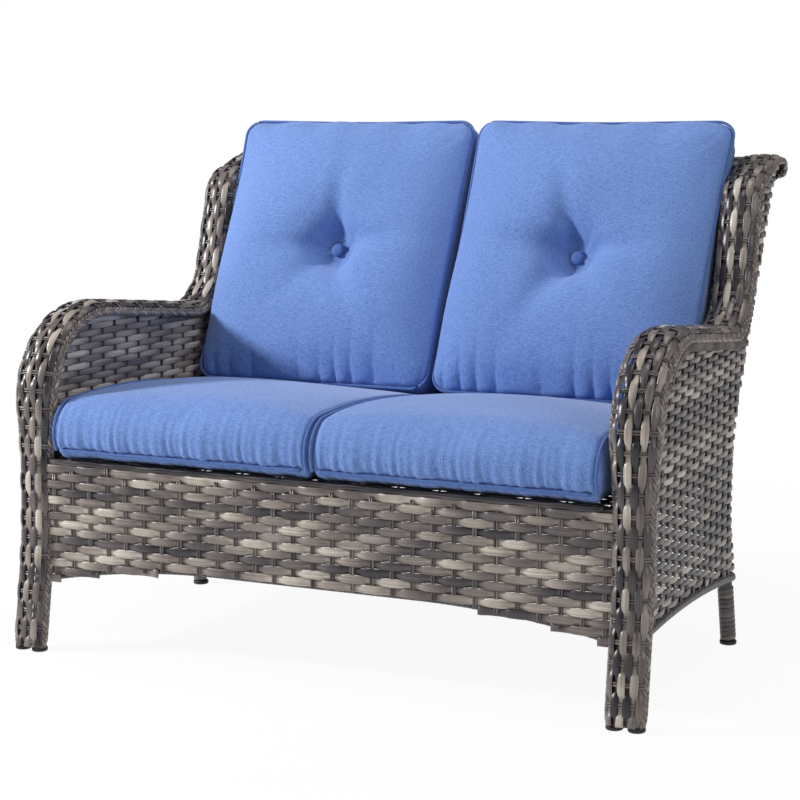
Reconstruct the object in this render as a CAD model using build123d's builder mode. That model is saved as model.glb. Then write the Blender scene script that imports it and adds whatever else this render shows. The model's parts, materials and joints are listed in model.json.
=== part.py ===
from build123d import *
import os
from math import atan2, cos, hypot, radians, sin

os.makedirs("parts", exist_ok=True)

# Millimetres. X runs to the right as seen from the front, Y to the back, Z up.
# The origin is on the floor, under the middle of the loveseat.

# Each side frame is drawn in an upright plane that toes in towards the back.
foot_spread = 592
toe_in = 2.2
clear = 0.3
overrun = 40
pocket_overrun = 5

# Woven skins.
panel_weave = 4
band_weave = 5
band_depth = 25
band_flange = 3
leg_half_width = 32.5
arm_half_width = 42
wing_half_width = 36

# Crest of the woven band: foot, knee, arm roll, crook and wing, to the scroll at the top.
toe_reach = 30
knee_height = 210
leg_top_set = 10
arm_corner_height = 659
arm_roll_radius = 180
knee_radius = 900
crook_set = 586
crook_height = 600
crook_radius = 100
wing_top_set = 661
wing_top_height = 868
wing_top_radius = 60
scroll_set = 790
scroll_bend_radius = 70
widening_end = 480
narrowing_start = 480
narrowing_end = 600

# Steel tubes.
tube_wall = 1.2
arm_tube_radius = 10
arm_tube_spacing = 38
rear_tube_radius = 13
top_rail_radius = 14
top_rail_set = 850
top_rail_height = 888
roll_slack = 1.7
rung_radius = 6
rung_shares = (
    (0, 0.45), (1, 0.15), (1, 0.45), (2, 0.38), (2, 0.58), (2, 0.76), (3, 0.45), (3, 0.68), (4, 0.45),
)
hem_rail_radius = 8
hem_wrap = 3
square_side = 25
square_wall = 1.5
bar_side = 20
post_radius = 10
post_bend_radius = 26

# Rear leg, from its splayed foot up to the scroll.
rear_foot_set = 582
rear_kick_set = 514
rear_kick_height = 258
rear_kick_radius = 220
rear_bend_set = 526
rear_bend_height = 425
rear_bend_radius = 260
rear_top_set = 791
rear_top_height = 870
leg_wrap_start = 14
leg_wrap_end = 112
leg_wrap_thickness = 2.2

# Feet.
cap_height = 8
front_cap_radius = 15
rear_cap_radius = 16
cap_shank = 12
cap_edge = 2.5

# Lower edges of the side panels and of the apron.
side_hem_front = 158
side_hem_middle = 161
side_hem_rear = 128
side_hem_middle_set = 200
apron_set = 8
apron_hem_middle = 168
apron_hem_end = 130
apron_flat_half = 200

# Seat deck.
deck_top = 363
deck_rear = 521
bar_places = (-320, 0, 320)

# Back panel.
back_foot_set = 521
back_lean_share = 0.48
back_bend_radius = 45
post_places = (-340, 0, 340)

# Fasteners.
bolt_radius = 4
bolt_head_radius = 7.5
bolt_head = 5
nut_width = 13
nut_height = 6.5
bolt_end = 2
side_bolt_places = (110, 400)
back_bolt_places = (-430, -150, 150, 430)

# Seat cushions: a top panel that rolls over the front, above a narrow under-boxing.
seat_width = 537
seat_gap = 3
seat_front = 0
seat_depth = 510
under_boxing = 20
front_bulge = 7
roll_set = 38
roll_height = 112
crest_set = 250
crest_height = 117
rear_edge_set = 455
rear_edge_height = 95
rear_shoulder = 60
seat_crown = 10
side_draw = 7
side_round = 9
lip_set = 4
seat_loft_shares = ((-1, 0), (-0.55, 0.8), (0, 1), (0.55, 0.8), (1, 0))

# Back cushions: a crowned front panel on a boxed body, with one deep tuft.
back_width = 507
back_length = 573
boxing = 75
back_crown = 36
corner_radius = 32
side_draw_in = 5
side_bend_radius = 4000
boxing_swell = 2
tuft_radius = 105
tuft_depth = 40
back_crown_shares = ((0, 1), (0.42, 0.95), (0.7, 0.84), (0.9, 0.64), (0.985, 0.4), (1, 0.2))
back_foot_height = 462

# Cushion make-up.
cloth = 3.2
piping_radius = 2.6
piping_gap = 0.9
button_radius = 14
button_height = 9
cord_radius = 1.5
zip_length = 440
zip_width = 8
zip_height = 1.6
slider_length = 16
slider_width = 7
slider_height = 3
pull_width = 4
zip_place_share = 0.7

tilt = radians(toe_in)
widening_start = deck_top
tube_depth = band_weave + clear + arm_tube_radius
roll_radius = top_rail_radius + roll_slack + band_weave
crest_top = top_rail_height + roll_radius
rear_tube_offset = clear + rear_tube_radius
panel_outer = rear_tube_offset + rear_tube_radius + clear + panel_weave
panel_inner = -panel_outer
rear_reach = top_rail_set * cos(tilt) + wing_half_width * sin(tilt) + roll_radius
front_reach = toe_reach - tube_depth + front_cap_radius
front_line = (front_reach - rear_reach) / 2

side_plane = Plane(
    origin=(foot_spread, front_line, 0),
    x_dir=(-sin(tilt), cos(tilt), 0),
    z_dir=(cos(tilt), sin(tilt), 0),
)
side_view = Plane(origin=(0, front_line, 0), x_dir=(0, 1, 0), z_dir=(1, 0, 0))
floor_plan = Plane(origin=(0, front_line, 0))

crest = [
    (-toe_reach, 0),
    (0, knee_height),
    (leg_top_set, arm_corner_height),
    (crook_set, crook_height),
    (wing_top_set, wing_top_height),
    (scroll_set, crest_top),
    (top_rail_set, crest_top),
]
crest_radii = [knee_radius, arm_roll_radius, crook_radius, wing_top_radius, scroll_bend_radius]
rear_leg = [
    (rear_foot_set, 0),
    (rear_kick_set, rear_kick_height),
    (rear_bend_set, rear_bend_height),
    (rear_top_set, rear_top_height),
]
rear_radii = [rear_kick_radius, rear_bend_radius]


def save(part, name):
    """Label one finished sub-part and write its STEP file."""
    part.label = name
    export_step(part, f"parts/{name}.step")


def save_pair(part, name):
    """Write a right-hand sub-part and its mirror image on the left."""
    save(part, f"right_{name}")
    save(mirror(part, about=Plane.YZ), f"left_{name}")


def save_group(parts, name):
    """Write like pieces of both sides as one node of separate solids."""
    with BuildPart() as group:
        for part in parts:
            add(part)
            add(mirror(part, about=Plane.YZ))
    save(group.part, name)


def parallel_route(corners, radii, inward):
    """The same route set over to its right: the foot of the crest has the frame on that side."""
    moved = []
    runs = list(zip(corners, corners[1:]))
    for start, end in runs:
        length = hypot(end[0] - start[0], end[1] - start[1])
        along = ((end[0] - start[0]) / length, (end[1] - start[1]) / length)
        moved.append((start[0] + along[1] * inward, start[1] - along[0] * inward, along, length))
    points = [moved[0][:2]]
    turns = []
    for (x1, y1, a, _), (x2, y2, b, _) in zip(moved, moved[1:]):
        cross = a[0] * b[1] - a[1] * b[0]
        step = ((x2 - x1) * b[1] - (y2 - y1) * b[0]) / cross
        points.append((x1 + a[0] * step, y1 + a[1] * step))
        turns.append(cross)
    x, y, along, length = moved[-1]
    points.append((x + along[0] * length, y + along[1] * length))
    bends = [radius + inward if cross > 0 else radius - inward for radius, cross in zip(radii, turns)]
    return points, bends


def at_height(start, end, height):
    """The point of a straight run at a given height."""
    share = (height - start[1]) / (end[1] - start[1])
    return (start[0] + (end[0] - start[0]) * share, height)


def on_run(corners, run, share):
    """The point a share of the way along one run of a route."""
    start, end = corners[run], corners[run + 1]
    return (start[0] + (end[0] - start[0]) * share, start[1] + (end[1] - start[1]) * share)


def bent_tube(plane, corners, radii, radius, wall):
    """A round steel tube along a route of runs and bends in one plane."""
    with BuildPart() as tube:
        with BuildLine(plane) as path:
            FilletPolyline(*corners, radius=radii)
        with BuildSketch(Plane(origin=path.line @ 0, z_dir=path.line % 0)):
            Circle(radius)
            Circle(radius - wall, mode=Mode.SUBTRACT)
        sweep(path=path.line)
    return tube.part


def straight_tube(plane, start, end, radius, wall):
    """A round tube between two points of a plane, its ends cut square."""
    first = plane.from_local_coords((start[0], start[1], 0))
    last = plane.from_local_coords((end[0], end[1], 0))
    with BuildPart() as tube:
        with BuildSketch(Plane(origin=first, z_dir=last - first)):
            Circle(radius)
            Circle(radius - wall, mode=Mode.SUBTRACT)
        extrude(amount=(last - first).length)
    return tube.part


def square_tube(plane, side, wall, length):
    """A square steel tube that stands on a plane, centred on its origin."""
    with BuildPart() as tube:
        with BuildSketch(plane):
            Rectangle(side, side)
            Rectangle(side - 2 * wall, side - 2 * wall, mode=Mode.SUBTRACT)
        extrude(amount=length)
    return tube.part


def strip(outer, outer_radii, inner, inner_radii):
    """The strip between two routes, closed across both ends."""
    with BuildSketch() as face:
        with BuildLine():
            first = FilletPolyline(*outer, radius=outer_radii)
            second = FilletPolyline(*inner, radius=inner_radii)
            Line(first @ 0, second @ 0)
            Line(first @ 1, second @ 1)
        make_face()
    return face.sketch


def band_block(top, bottom, inset):
    """The band between two depths under its crest, as wide as leg, arm and wing ask."""
    leg = leg_half_width - inset
    arm = arm_half_width - inset
    wing = wing_half_width - inset
    upper, upper_radii = parallel_route(crest, crest_radii, top)
    lower, lower_radii = parallel_route(crest, crest_radii, bottom)
    with BuildPart() as block:
        with BuildSketch(side_plane.offset(-arm)):
            add(strip(upper, upper_radii, lower, lower_radii))
        extrude(amount=2 * arm)
        front_plane = Plane(side_plane.origin, x_dir=side_plane.z_dir, z_dir=-side_plane.x_dir)
        with BuildSketch(front_plane.offset(-rear_reach)):
            with BuildLine():
                Polyline(
                    (-leg, cap_height + clear), (-leg, widening_start), (-arm, widening_end),
                    (-arm, crest_top + overrun), (arm, crest_top + overrun), (arm, widening_end),
                    (leg, widening_start), (leg, cap_height + clear), close=True,
                )
            make_face()
        extrude(amount=rear_reach + front_reach + overrun, mode=Mode.INTERSECT)
        plan_plane = Plane(side_plane.origin, x_dir=side_plane.x_dir, z_dir=(0, 0, 1))
        with BuildSketch(plan_plane):
            with BuildLine():
                Polyline(
                    (-toe_reach - overrun, -arm), (narrowing_start, -arm), (narrowing_end, -wing),
                    (rear_reach, -wing), (rear_reach, wing), (narrowing_end, wing),
                    (narrowing_start, arm), (-toe_reach - overrun, arm), close=True,
                )
            make_face()
        extrude(amount=crest_top + overrun, mode=Mode.INTERSECT)
    return block.part


def scroll_hook(centre, inner, outer):
    """Half round section of the weave that hooks back over the top rail."""
    middle, height = centre
    with BuildSketch() as hook:
        with BuildLine():
            ThreePointArc((middle, height + outer), (middle + outer, height), (middle, height - outer))
            Line((middle, height - outer), (middle, height - inner))
            ThreePointArc((middle, height - inner), (middle + inner, height), (middle, height + inner))
            Line((middle, height + inner), (middle, height + outer))
        make_face()
    return hook.sketch


# Arm tubes: an outer and an inner one run side by side from the front foot to the scroll.
tube_corners, tube_radii = parallel_route(crest, crest_radii, tube_depth)
foot_lean = atan2(toe_reach, knee_height)
tube_start = cap_height + clear + arm_tube_radius * sin(foot_lean)
tube_corners[0] = at_height(tube_corners[0], tube_corners[1], tube_start)
tube_corners[-1] = (top_rail_set - top_rail_radius - roll_slack, tube_corners[-1][1])
for name, side in (("outer", 1), ("inner", -1)):
    tube_plane = side_plane.offset(side * arm_tube_spacing / 2)
    arm_tube = bent_tube(tube_plane, tube_corners, tube_radii, arm_tube_radius, tube_wall)
    save_pair(arm_tube, f"arm_tube_{name}")

# Rungs weld the two arm tubes together.
rung_half = arm_tube_spacing / 2 - arm_tube_radius
rung_spots = [on_run(tube_corners, run, share) for run, share in rung_shares]
with BuildPart() as side_rungs:
    with BuildSketch(side_plane.offset(-rung_half)):
        with Locations(*rung_spots):
            Circle(rung_radius)
            Circle(rung_radius - tube_wall, mode=Mode.SUBTRACT)
    extrude(amount=2 * rung_half)
save_group([side_rungs.part], "arm_rungs")

# Rear leg tube, splayed at the foot and leaning back above the seat.
rear_lean = atan2(rear_foot_set - rear_kick_set, rear_kick_height)
rear_start = cap_height + clear + rear_tube_radius * sin(rear_lean)
rear_plane = side_plane.offset(rear_tube_offset)
rear_corners = [at_height(rear_leg[0], rear_leg[1], rear_start)] + rear_leg[1:]
save_pair(bent_tube(rear_plane, rear_corners, rear_radii, rear_tube_radius, tube_wall), "rear_leg_tube")

# Strands wrapped round the bare part of the rear leg.
wrap_start = at_height(rear_leg[0], rear_leg[1], rear_start + leg_wrap_start)
wrap_end = at_height(rear_leg[0], rear_leg[1], leg_wrap_end)
wrap_radius = rear_tube_radius + clear + leg_wrap_thickness
leg_wrap = straight_tube(rear_plane, wrap_start, wrap_end, wrap_radius, leg_wrap_thickness)
save_group([leg_wrap], "rear_leg_wraps")

# Woven band over both arm tubes, from the front foot over the arm and up the wing.
with BuildPart() as arm_band:
    add(band_block(0, band_depth, 0))
    add(band_block(band_weave, band_depth + pocket_overrun, band_flange), mode=Mode.SUBTRACT)
    with BuildSketch(side_plane.offset(-wing_half_width)):
        add(scroll_hook((top_rail_set, top_rail_height), roll_radius - band_weave, roll_radius))
    extrude(amount=2 * wing_half_width)
    with BuildSketch(side_plane.offset(-wing_half_width)):
        with Locations((top_rail_set, top_rail_height)):
            Circle(roll_radius - band_weave)
    extrude(amount=2 * wing_half_width, mode=Mode.SUBTRACT)
save_pair(arm_band.part, "arm_band")

# Side panels: the outer one turns round the rear leg, the inner one lines the seat.
panel_depth = tube_depth + arm_tube_radius + clear
panel_front, panel_front_radii = parallel_route(crest, crest_radii, panel_depth)
panel_front[-1] = (top_rail_set - roll_radius - clear, panel_front[-1][1])
panel_rear, panel_rear_radii = parallel_route(rear_leg, rear_radii, rear_tube_radius + clear + panel_weave)
tube_back, tube_back_radii = parallel_route(rear_leg, rear_radii, rear_tube_radius + clear)
rail_top = deck_top - panel_weave - clear


def below_hem():
    """Everything under the curved lower edge of an outer side panel."""
    with BuildSketch() as area:
        with BuildLine():
            arc = ThreePointArc(
                (-overrun, side_hem_front), (side_hem_middle_set, side_hem_middle),
                (rear_foot_set + overrun, side_hem_rear),
            )
            Polyline(arc @ 1, (rear_foot_set + overrun, -overrun), (-overrun, -overrun), arc @ 0)
        make_face()
    return area.sketch


with BuildPart() as outer_side_weave:
    with BuildSketch(side_plane.offset(panel_outer - panel_weave)):
        add(strip(panel_front, panel_front_radii, panel_rear, panel_rear_radii))
        add(below_hem(), mode=Mode.SUBTRACT)
    extrude(amount=panel_weave)
    with BuildSketch(side_plane.offset(panel_inner + panel_weave + clear)):
        add(strip(tube_back, tube_back_radii, panel_rear, panel_rear_radii))
        add(below_hem(), mode=Mode.SUBTRACT)
    extrude(amount=panel_outer - panel_inner - 2 * panel_weave - clear)
save_pair(outer_side_weave.part, "outer_side_weave")

with BuildPart() as inner_side_weave:
    with BuildSketch(side_plane.offset(panel_inner)):
        add(strip(panel_front, panel_front_radii, panel_rear, panel_rear_radii))
        with Locations((0, rail_top + clear)):
            Rectangle(
                3 * rear_reach, deck_top + overrun, align=(Align.CENTER, Align.MAX), mode=Mode.SUBTRACT
            )
    extrude(amount=panel_weave)
save_pair(inner_side_weave.part, "inner_side_weave")

# Hem rail along the lower edge of each side panel, with strands wrapped round it.
hem_set = panel_outer - panel_weave - clear - hem_wrap - hem_rail_radius
hem_drop = hem_rail_radius + hem_wrap
tube_front, _ = parallel_route(rear_leg, rear_radii, -rear_tube_radius - hem_wrap)
hem_start = at_height(panel_front[0], panel_front[1], side_hem_front + 2 * hem_drop)[0]
hem_end = at_height(tube_front[0], tube_front[1], side_hem_rear + 2 * hem_drop)[0]


def hem_tube(radius, wall):
    """A tube along the hem of a side panel, between the front leg and the rear leg."""
    with BuildPart() as tube:
        with BuildLine(side_plane.offset(hem_set)) as path:
            ThreePointArc(
                (hem_start, side_hem_front + hem_drop),
                (side_hem_middle_set, side_hem_middle + hem_drop),
                (hem_end, side_hem_rear + hem_drop),
            )
        with BuildSketch(Plane(origin=path.line @ 0, z_dir=path.line % 0)):
            Circle(radius)
            Circle(radius - wall, mode=Mode.SUBTRACT)
        sweep(path=path.line)
    return tube.part


save_pair(hem_tube(hem_rail_radius, tube_wall), "side_hem_rail")
save_pair(hem_tube(hem_rail_radius + hem_wrap, hem_wrap - clear), "side_hem_wrap")

# Square seat rail of each side frame, welded to the inner front tube and along the rear leg.
rail_axis = rail_top - square_side / 2
rail_front = tube_corners[2][0] + arm_tube_radius + clear
rail_rear = rear_bend_set + rear_tube_radius / 2
bolt_axis_places = [(place, rail_axis) for place in side_bolt_places]


def side_rail(offset, start, end):
    """A square tube along the side, drilled across for the frame bolts."""
    first = side_plane.from_local_coords((start, rail_axis, offset))
    with BuildPart() as rail:
        add(square_tube(Plane(first, x_dir=side_plane.z_dir, z_dir=side_plane.x_dir), square_side,
                        square_wall, end - start))
        with BuildSketch(side_plane.offset(offset - square_side)):
            with Locations(*bolt_axis_places):
                Circle(bolt_radius + clear)
        extrude(amount=2 * square_side, mode=Mode.SUBTRACT)
    return rail.part


side_rail_set = -square_side / 2
save_pair(side_rail(side_rail_set, rail_front, rail_rear), "side_seat_rail")

# Seat frame: front and rear rails, side rails and cross bars of square tube.
front_rail_set = apron_set + panel_weave + clear + square_side / 2
rear_rail_set = deck_rear - square_side / 2
seat_rail_offset = side_rail_set - square_side - clear
front_rail_half = foot_spread - leg_half_width - clear - front_rail_set * sin(tilt) - clear
rear_rail_half = foot_spread + seat_rail_offset + square_side / 2 - deck_rear * sin(tilt) - clear


def cross_rail(set_back, half_length):
    """A square rail across the loveseat, centred on the middle."""
    start = Plane(
        origin=(-half_length, front_line + set_back, rail_axis), x_dir=(0, 1, 0), z_dir=(1, 0, 0)
    )
    return square_tube(start, square_side, square_wall, 2 * half_length)


with BuildPart() as seat_front_rail:
    add(cross_rail(front_rail_set, front_rail_half))
save(seat_front_rail.part, "seat_front_rail")

back_bolt_spots = [(place, 0) for place in back_bolt_places]
bolt_plane = Plane(origin=(0, front_line + deck_rear, rail_axis), x_dir=(1, 0, 0), z_dir=(0, 1, 0))


def drilled_rail(set_back, half_length):
    """A cross rail with holes for the bolts that join seat and back."""
    with BuildPart() as rail:
        add(cross_rail(set_back, half_length))
        with BuildSketch(bolt_plane.offset(-2 * square_side)):
            with Locations(*back_bolt_spots):
                Circle(bolt_radius + clear)
        extrude(amount=4 * square_side, mode=Mode.SUBTRACT)
    return rail.part


save(drilled_rail(rear_rail_set, rear_rail_half), "seat_rear_rail")

rail_skew = (square_side / 2 - seat_rail_offset) * sin(tilt)
seat_side_start = front_rail_set + square_side / 2 + clear + rail_skew
seat_side_end = rear_rail_set - square_side / 2 - clear
save_group([side_rail(seat_rail_offset, seat_side_start, seat_side_end)], "seat_side_rails")

bar_axis = rail_top - bar_side / 2
bar_start = front_rail_set + square_side / 2 + clear
bar_end = rear_rail_set - square_side / 2 - clear
with BuildPart() as seat_cross_bars:
    for place in bar_places:
        start = Plane(origin=(place, front_line + bar_start, bar_axis), x_dir=(1, 0, 0), z_dir=(0, 1, 0))
        add(square_tube(start, bar_side, square_wall, bar_end - bar_start))
save(seat_cross_bars.part, "seat_cross_bars")


def between_sides(offset, front, rear):
    """Plan of the space between the two toed-in side planes, each set over by an offset."""
    front_half = foot_spread + (offset - front * sin(tilt)) / cos(tilt)
    rear_half = foot_spread + (offset - rear * sin(tilt)) / cos(tilt)
    with BuildSketch() as area:
        with BuildLine():
            Polyline(
                (-front_half, front), (front_half, front), (rear_half, rear), (-rear_half, rear), close=True
            )
        make_face()
    return area.sketch


# Woven seat deck on top of the seat frame.
with BuildPart() as seat_deck_weave:
    with BuildSketch(floor_plan.offset(deck_top - panel_weave)):
        add(between_sides(panel_inner - clear, apron_set + band_depth, deck_rear))
        with Locations((0, apron_set)):
            Rectangle(
                2 * (foot_spread - arm_half_width - 2 * clear), band_depth, align=(Align.CENTER, Align.MIN)
            )
    extrude(amount=panel_weave)
save(seat_deck_weave.part, "seat_deck_weave")

# Apron: its woven panel with an arched lower edge, the rail behind that edge and its wrap.
apron_plane = Plane(origin=(0, front_line + apron_set, 0), x_dir=(1, 0, 0), z_dir=(0, -1, 0))
apron_half = foot_spread - leg_half_width - 2 * clear - (apron_set + panel_weave) * sin(tilt)


def apron_arch(half, lift):
    """The lower edge of the apron, left to right: flat in the middle, falling to both legs."""
    height = apron_hem_middle + lift
    fall = apron_hem_middle - apron_hem_end
    quarter = (half + apron_flat_half) / 2
    with BuildLine() as arch:
        ThreePointArc((-half, height - fall), (-quarter, height - fall / 4), (-apron_flat_half, height))
        Line((-apron_flat_half, height), (apron_flat_half, height))
        ThreePointArc((apron_flat_half, height), (quarter, height - fall / 4), (half, height - fall))
    return arch.line


with BuildPart() as apron_weave:
    with BuildSketch(apron_plane):
        with BuildLine():
            add(apron_arch(apron_half, 0))
            Polyline(
                (-apron_half, apron_hem_end), (-apron_half, rail_top), (apron_half, rail_top),
                (apron_half, apron_hem_end),
            )
        make_face()
    extrude(amount=-panel_weave)
save(apron_weave.part, "apron_weave")

apron_rail_plane = apron_plane.offset(-panel_weave - clear - hem_wrap - hem_rail_radius)
apron_rail_half = apron_half - hem_wrap - hem_rail_radius


def apron_tube(radius, wall):
    """A tube along the arch behind the apron."""
    path = apron_rail_plane.from_local_coords(apron_arch(apron_rail_half, hem_drop))
    with BuildPart() as tube:
        with BuildSketch(Plane(origin=path @ 0, z_dir=path % 0)):
            Circle(radius)
            Circle(radius - wall, mode=Mode.SUBTRACT)
        sweep(path=path)
    return tube.part


save(apron_tube(hem_rail_radius, tube_wall), "apron_rail")
save(apron_tube(hem_rail_radius + hem_wrap, hem_wrap - clear), "apron_wrap")


def foot_cap(plane, corners, radius, tube_radius):
    """A round plastic foot, flat on the floor, with a shank up into the end of its tube."""
    seat = plane.from_local_coords((corners[0][0], corners[0][1], 0))
    up = plane.from_local_coords((corners[1][0], corners[1][1], 0)) - seat
    with BuildPart() as cap:
        with BuildSketch(Plane(origin=(seat.X, seat.Y, 0))):
            Circle(radius)
        extrude(amount=cap_height)
        fillet(cap.edges(), cap_edge)
        with BuildSketch(Plane(origin=seat, z_dir=up).offset(-cap_edge)):
            Circle(tube_radius - tube_wall - clear)
        extrude(amount=cap_shank)
    return cap.part


front_caps = [
    foot_cap(
        side_plane.offset(side * arm_tube_spacing / 2), tube_corners, front_cap_radius, arm_tube_radius
    )
    for side in (1, -1)
]
save_group(front_caps, "front_foot_caps")
rear_cap = foot_cap(rear_plane, rear_corners, rear_cap_radius, rear_tube_radius)
save_group([rear_cap], "rear_foot_caps")

# Back frame: the top rail inside the scroll, the lower rail bolted to the seat, and posts.
top_rail_line = top_rail_set * cos(tilt)
top_rail_half = foot_spread - top_rail_set * sin(tilt) + wing_half_width - 2 * band_weave
with BuildPart() as back_top_rail:
    with BuildSketch(Plane.YZ.offset(-top_rail_half)):
        with Locations((front_line + top_rail_line, top_rail_height)):
            Circle(top_rail_radius)
            Circle(top_rail_radius - tube_wall, mode=Mode.SUBTRACT)
    extrude(amount=2 * top_rail_half)
save(back_top_rail.part, "back_top_rail")

lower_rail_set = deck_rear + clear + square_side / 2
save(drilled_rail(lower_rail_set, rear_rail_half - 2 * panel_weave), "back_lower_rail")

panel_roll = roll_radius - roll_slack + clear
panel_top = top_rail_height + panel_roll
back_top_set = back_foot_set + (panel_top - deck_top) * back_lean_share
back_route = [
    (back_foot_set, deck_top + clear),
    (back_top_set, panel_top),
    (top_rail_line, panel_top),
]
back_lean = atan2(back_lean_share, 1)
post_set = (band_weave + clear + post_radius) / cos(back_lean)
post_start = rail_top + clear + post_radius * sin(back_lean)
post_foot = (back_foot_set + post_set + (post_start - deck_top) * back_lean_share, post_start)
post_bend = (back_foot_set + post_set + (top_rail_height - deck_top) * back_lean_share, top_rail_height)
post_end = (top_rail_line - top_rail_radius - clear, top_rail_height)
post_corners = [post_foot, post_bend, post_end]
with BuildPart() as back_posts:
    for place in post_places:
        post_plane = Plane(origin=(place, front_line, 0), x_dir=(0, 1, 0), z_dir=(1, 0, 0))
        add(bent_tube(post_plane, post_corners, [post_bend_radius], post_radius, tube_wall))
save(back_posts.part, "back_posts")

# Woven back: a leaning panel that rolls back over the top rail.
lower_route, lower_radii = parallel_route(back_route, [back_bend_radius], band_weave)
with BuildPart() as back_weave:
    with BuildSketch(side_view.offset(-foot_spread)):
        add(strip(back_route, [back_bend_radius], lower_route, lower_radii))
        add(scroll_hook((top_rail_line, top_rail_height), panel_roll - band_weave, panel_roll))
    extrude(amount=2 * foot_spread)
    with BuildSketch(floor_plan):
        add(between_sides(-wing_half_width - clear, 0, rear_reach + overrun))
    extrude(amount=crest_top + overrun, mode=Mode.INTERSECT)
save(back_weave.part, "back_weave")

# Bolts and nuts: two through the rails of each side, four through the rails of seat and back.
grip = 2 * square_side + clear
side_bolt_plane = side_plane.offset(side_rail_set + square_side / 2)
back_bolt_plane = Plane(
    origin=(0, front_line + rear_rail_set - square_side / 2, rail_axis), x_dir=(-1, 0, 0), z_dir=(0, -1, 0)
)
bolt_spots = [(side_bolt_plane, spot) for spot in bolt_axis_places]
bolt_spots += [(back_bolt_plane, spot) for spot in back_bolt_spots]


def bolt(plane, spot):
    """A domed bolt whose head bears on the plane."""
    with BuildPart() as screw:
        with BuildSketch(plane):
            with Locations(spot):
                Circle(bolt_head_radius)
        extrude(amount=bolt_head)
        fillet(screw.faces().sort_by(Axis(plane.origin, plane.z_dir))[-1].edges(), bolt_head / 3)
        with BuildSketch(plane):
            with Locations(spot):
                Circle(bolt_radius)
        extrude(amount=-(grip + nut_height + bolt_end))
    return screw.part


def nut(plane, spot):
    """A hexagon nut on the far side of the grip."""
    with BuildPart() as hexagon:
        with BuildSketch(plane.offset(-grip)):
            with Locations(spot):
                RegularPolygon(nut_width / 2, 6, major_radius=False)
                Circle(bolt_radius, mode=Mode.SUBTRACT)
        extrude(amount=-nut_height)
    return hexagon.part


for name, make in (("frame_bolts", bolt), ("frame_nuts", nut)):
    with BuildPart() as group:
        for plane, spot in bolt_spots:
            piece = make(plane, spot)
            add(piece)
            if plane is side_bolt_plane:
                add(mirror(piece, about=Plane.YZ))
    save(group.part, name)

# Cushions are built on the right and mirrored to the left, a small gap between them.
seat_middle = (seat_gap + seat_width) / 2
seat_bottom = deck_top + clear
piping_channel = piping_radius + clear


def seat_section(place, crown, drop, shrink):
    """Side outline of a seat cushion: flat below, rolled over the front, rounded behind."""
    section_plane = Plane(
        origin=(seat_middle + place, front_line + seat_front, seat_bottom), x_dir=(0, 1, 0), z_dir=(1, 0, 0)
    )
    lift = crown - drop - shrink
    front = drop + shrink
    with BuildSketch(section_plane) as section:
        with BuildLine():
            Line((seat_depth - shrink, shrink), (lip_set + front, shrink))
            Line((lip_set + front, shrink), (front, under_boxing))
            ThreePointArc(
                (front, under_boxing), (front - front_bulge, roll_height / 2 + lift / 2),
                (roll_set + front, roll_height + lift),
            )
            ThreePointArc(
                (roll_set + front, roll_height + lift), (crest_set, crest_height + lift),
                (rear_edge_set, rear_edge_height - shrink - drop),
            )
            ThreePointArc(
                (rear_edge_set, rear_edge_height - shrink - drop),
                ((rear_edge_set + 2 * (seat_depth - shrink)) / 3,
                 (2 * rear_edge_height + rear_shoulder) / 3 - shrink - drop / 2),
                (seat_depth - shrink, rear_shoulder - shrink),
            )
            Line((seat_depth - shrink, rear_shoulder - shrink), (seat_depth - shrink, shrink))
        make_face()
    return section.sketch


def seat_form(shrink):
    """Body of a seat cushion, crowned in the middle and drawn in at both sides."""
    half = seat_width / 2 - shrink
    shoulder = half - side_round
    with BuildPart() as form:
        loft([
            seat_section(share * shoulder, rise * seat_crown, 0, shrink).face()
            for share, rise in seat_loft_shares
        ])
        for side in (-1, 1):
            loft([
                seat_section(side * shoulder, 0, 0, shrink).face(),
                seat_section(side * half, 0, side_draw, shrink).face(),
            ])
    return form.part


def seam_cord(seam, radius):
    """A round cord along a seam."""
    with BuildPart() as cord:
        with BuildSketch(Plane(origin=seam @ 0, z_dir=seam % 0)):
            Circle(radius)
        sweep(path=seam)
    return cord.part


def seat_seams(radius):
    """Piping round both side panels and along the lower front edge of a seat cushion."""
    half = seat_width / 2 - side_round / 2
    cords = []
    for side in (-1, 1):
        outline = seat_section(side * half, 0, side_draw / 2, 0).wire().edges()
        side_seam = Wire([edge for edge in outline if edge.center().Z > seat_bottom + under_boxing])
        cords.append(seam_cord(side_seam, radius))
    reach = half - 4 * piping_radius + radius
    start = Vector(seat_middle - reach, front_line + seat_front, seat_bottom + under_boxing)
    cords.append(seam_cord(Edge.make_line(start, start + (2 * reach, 0, 0)), radius))
    return cords


def back_seams(radius):
    """Piping that stands just outside the front seam and the rear seam of a back cushion."""
    levels = (0, -boxing + piping_radius)
    spread = piping_radius + piping_gap
    return [seam_cord(back_section(level, 1, 0, -spread).wire(), radius) for level in levels]


def hollow(outer, inner, seams):
    """A sewn cover: its outer form less the space for the filling and the channels for the piping."""
    with BuildPart() as cover:
        add(outer)
        add(inner, mode=Mode.SUBTRACT)
        for seam in seams:
            add(seam, mode=Mode.SUBTRACT)
    return cover.part


def save_seams(cords, name):
    """Write the piping of one cushion, each run of it a solid."""
    with BuildPart() as piping:
        for cord in cords:
            add(cord)
    save_pair(piping.part, name)


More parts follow.
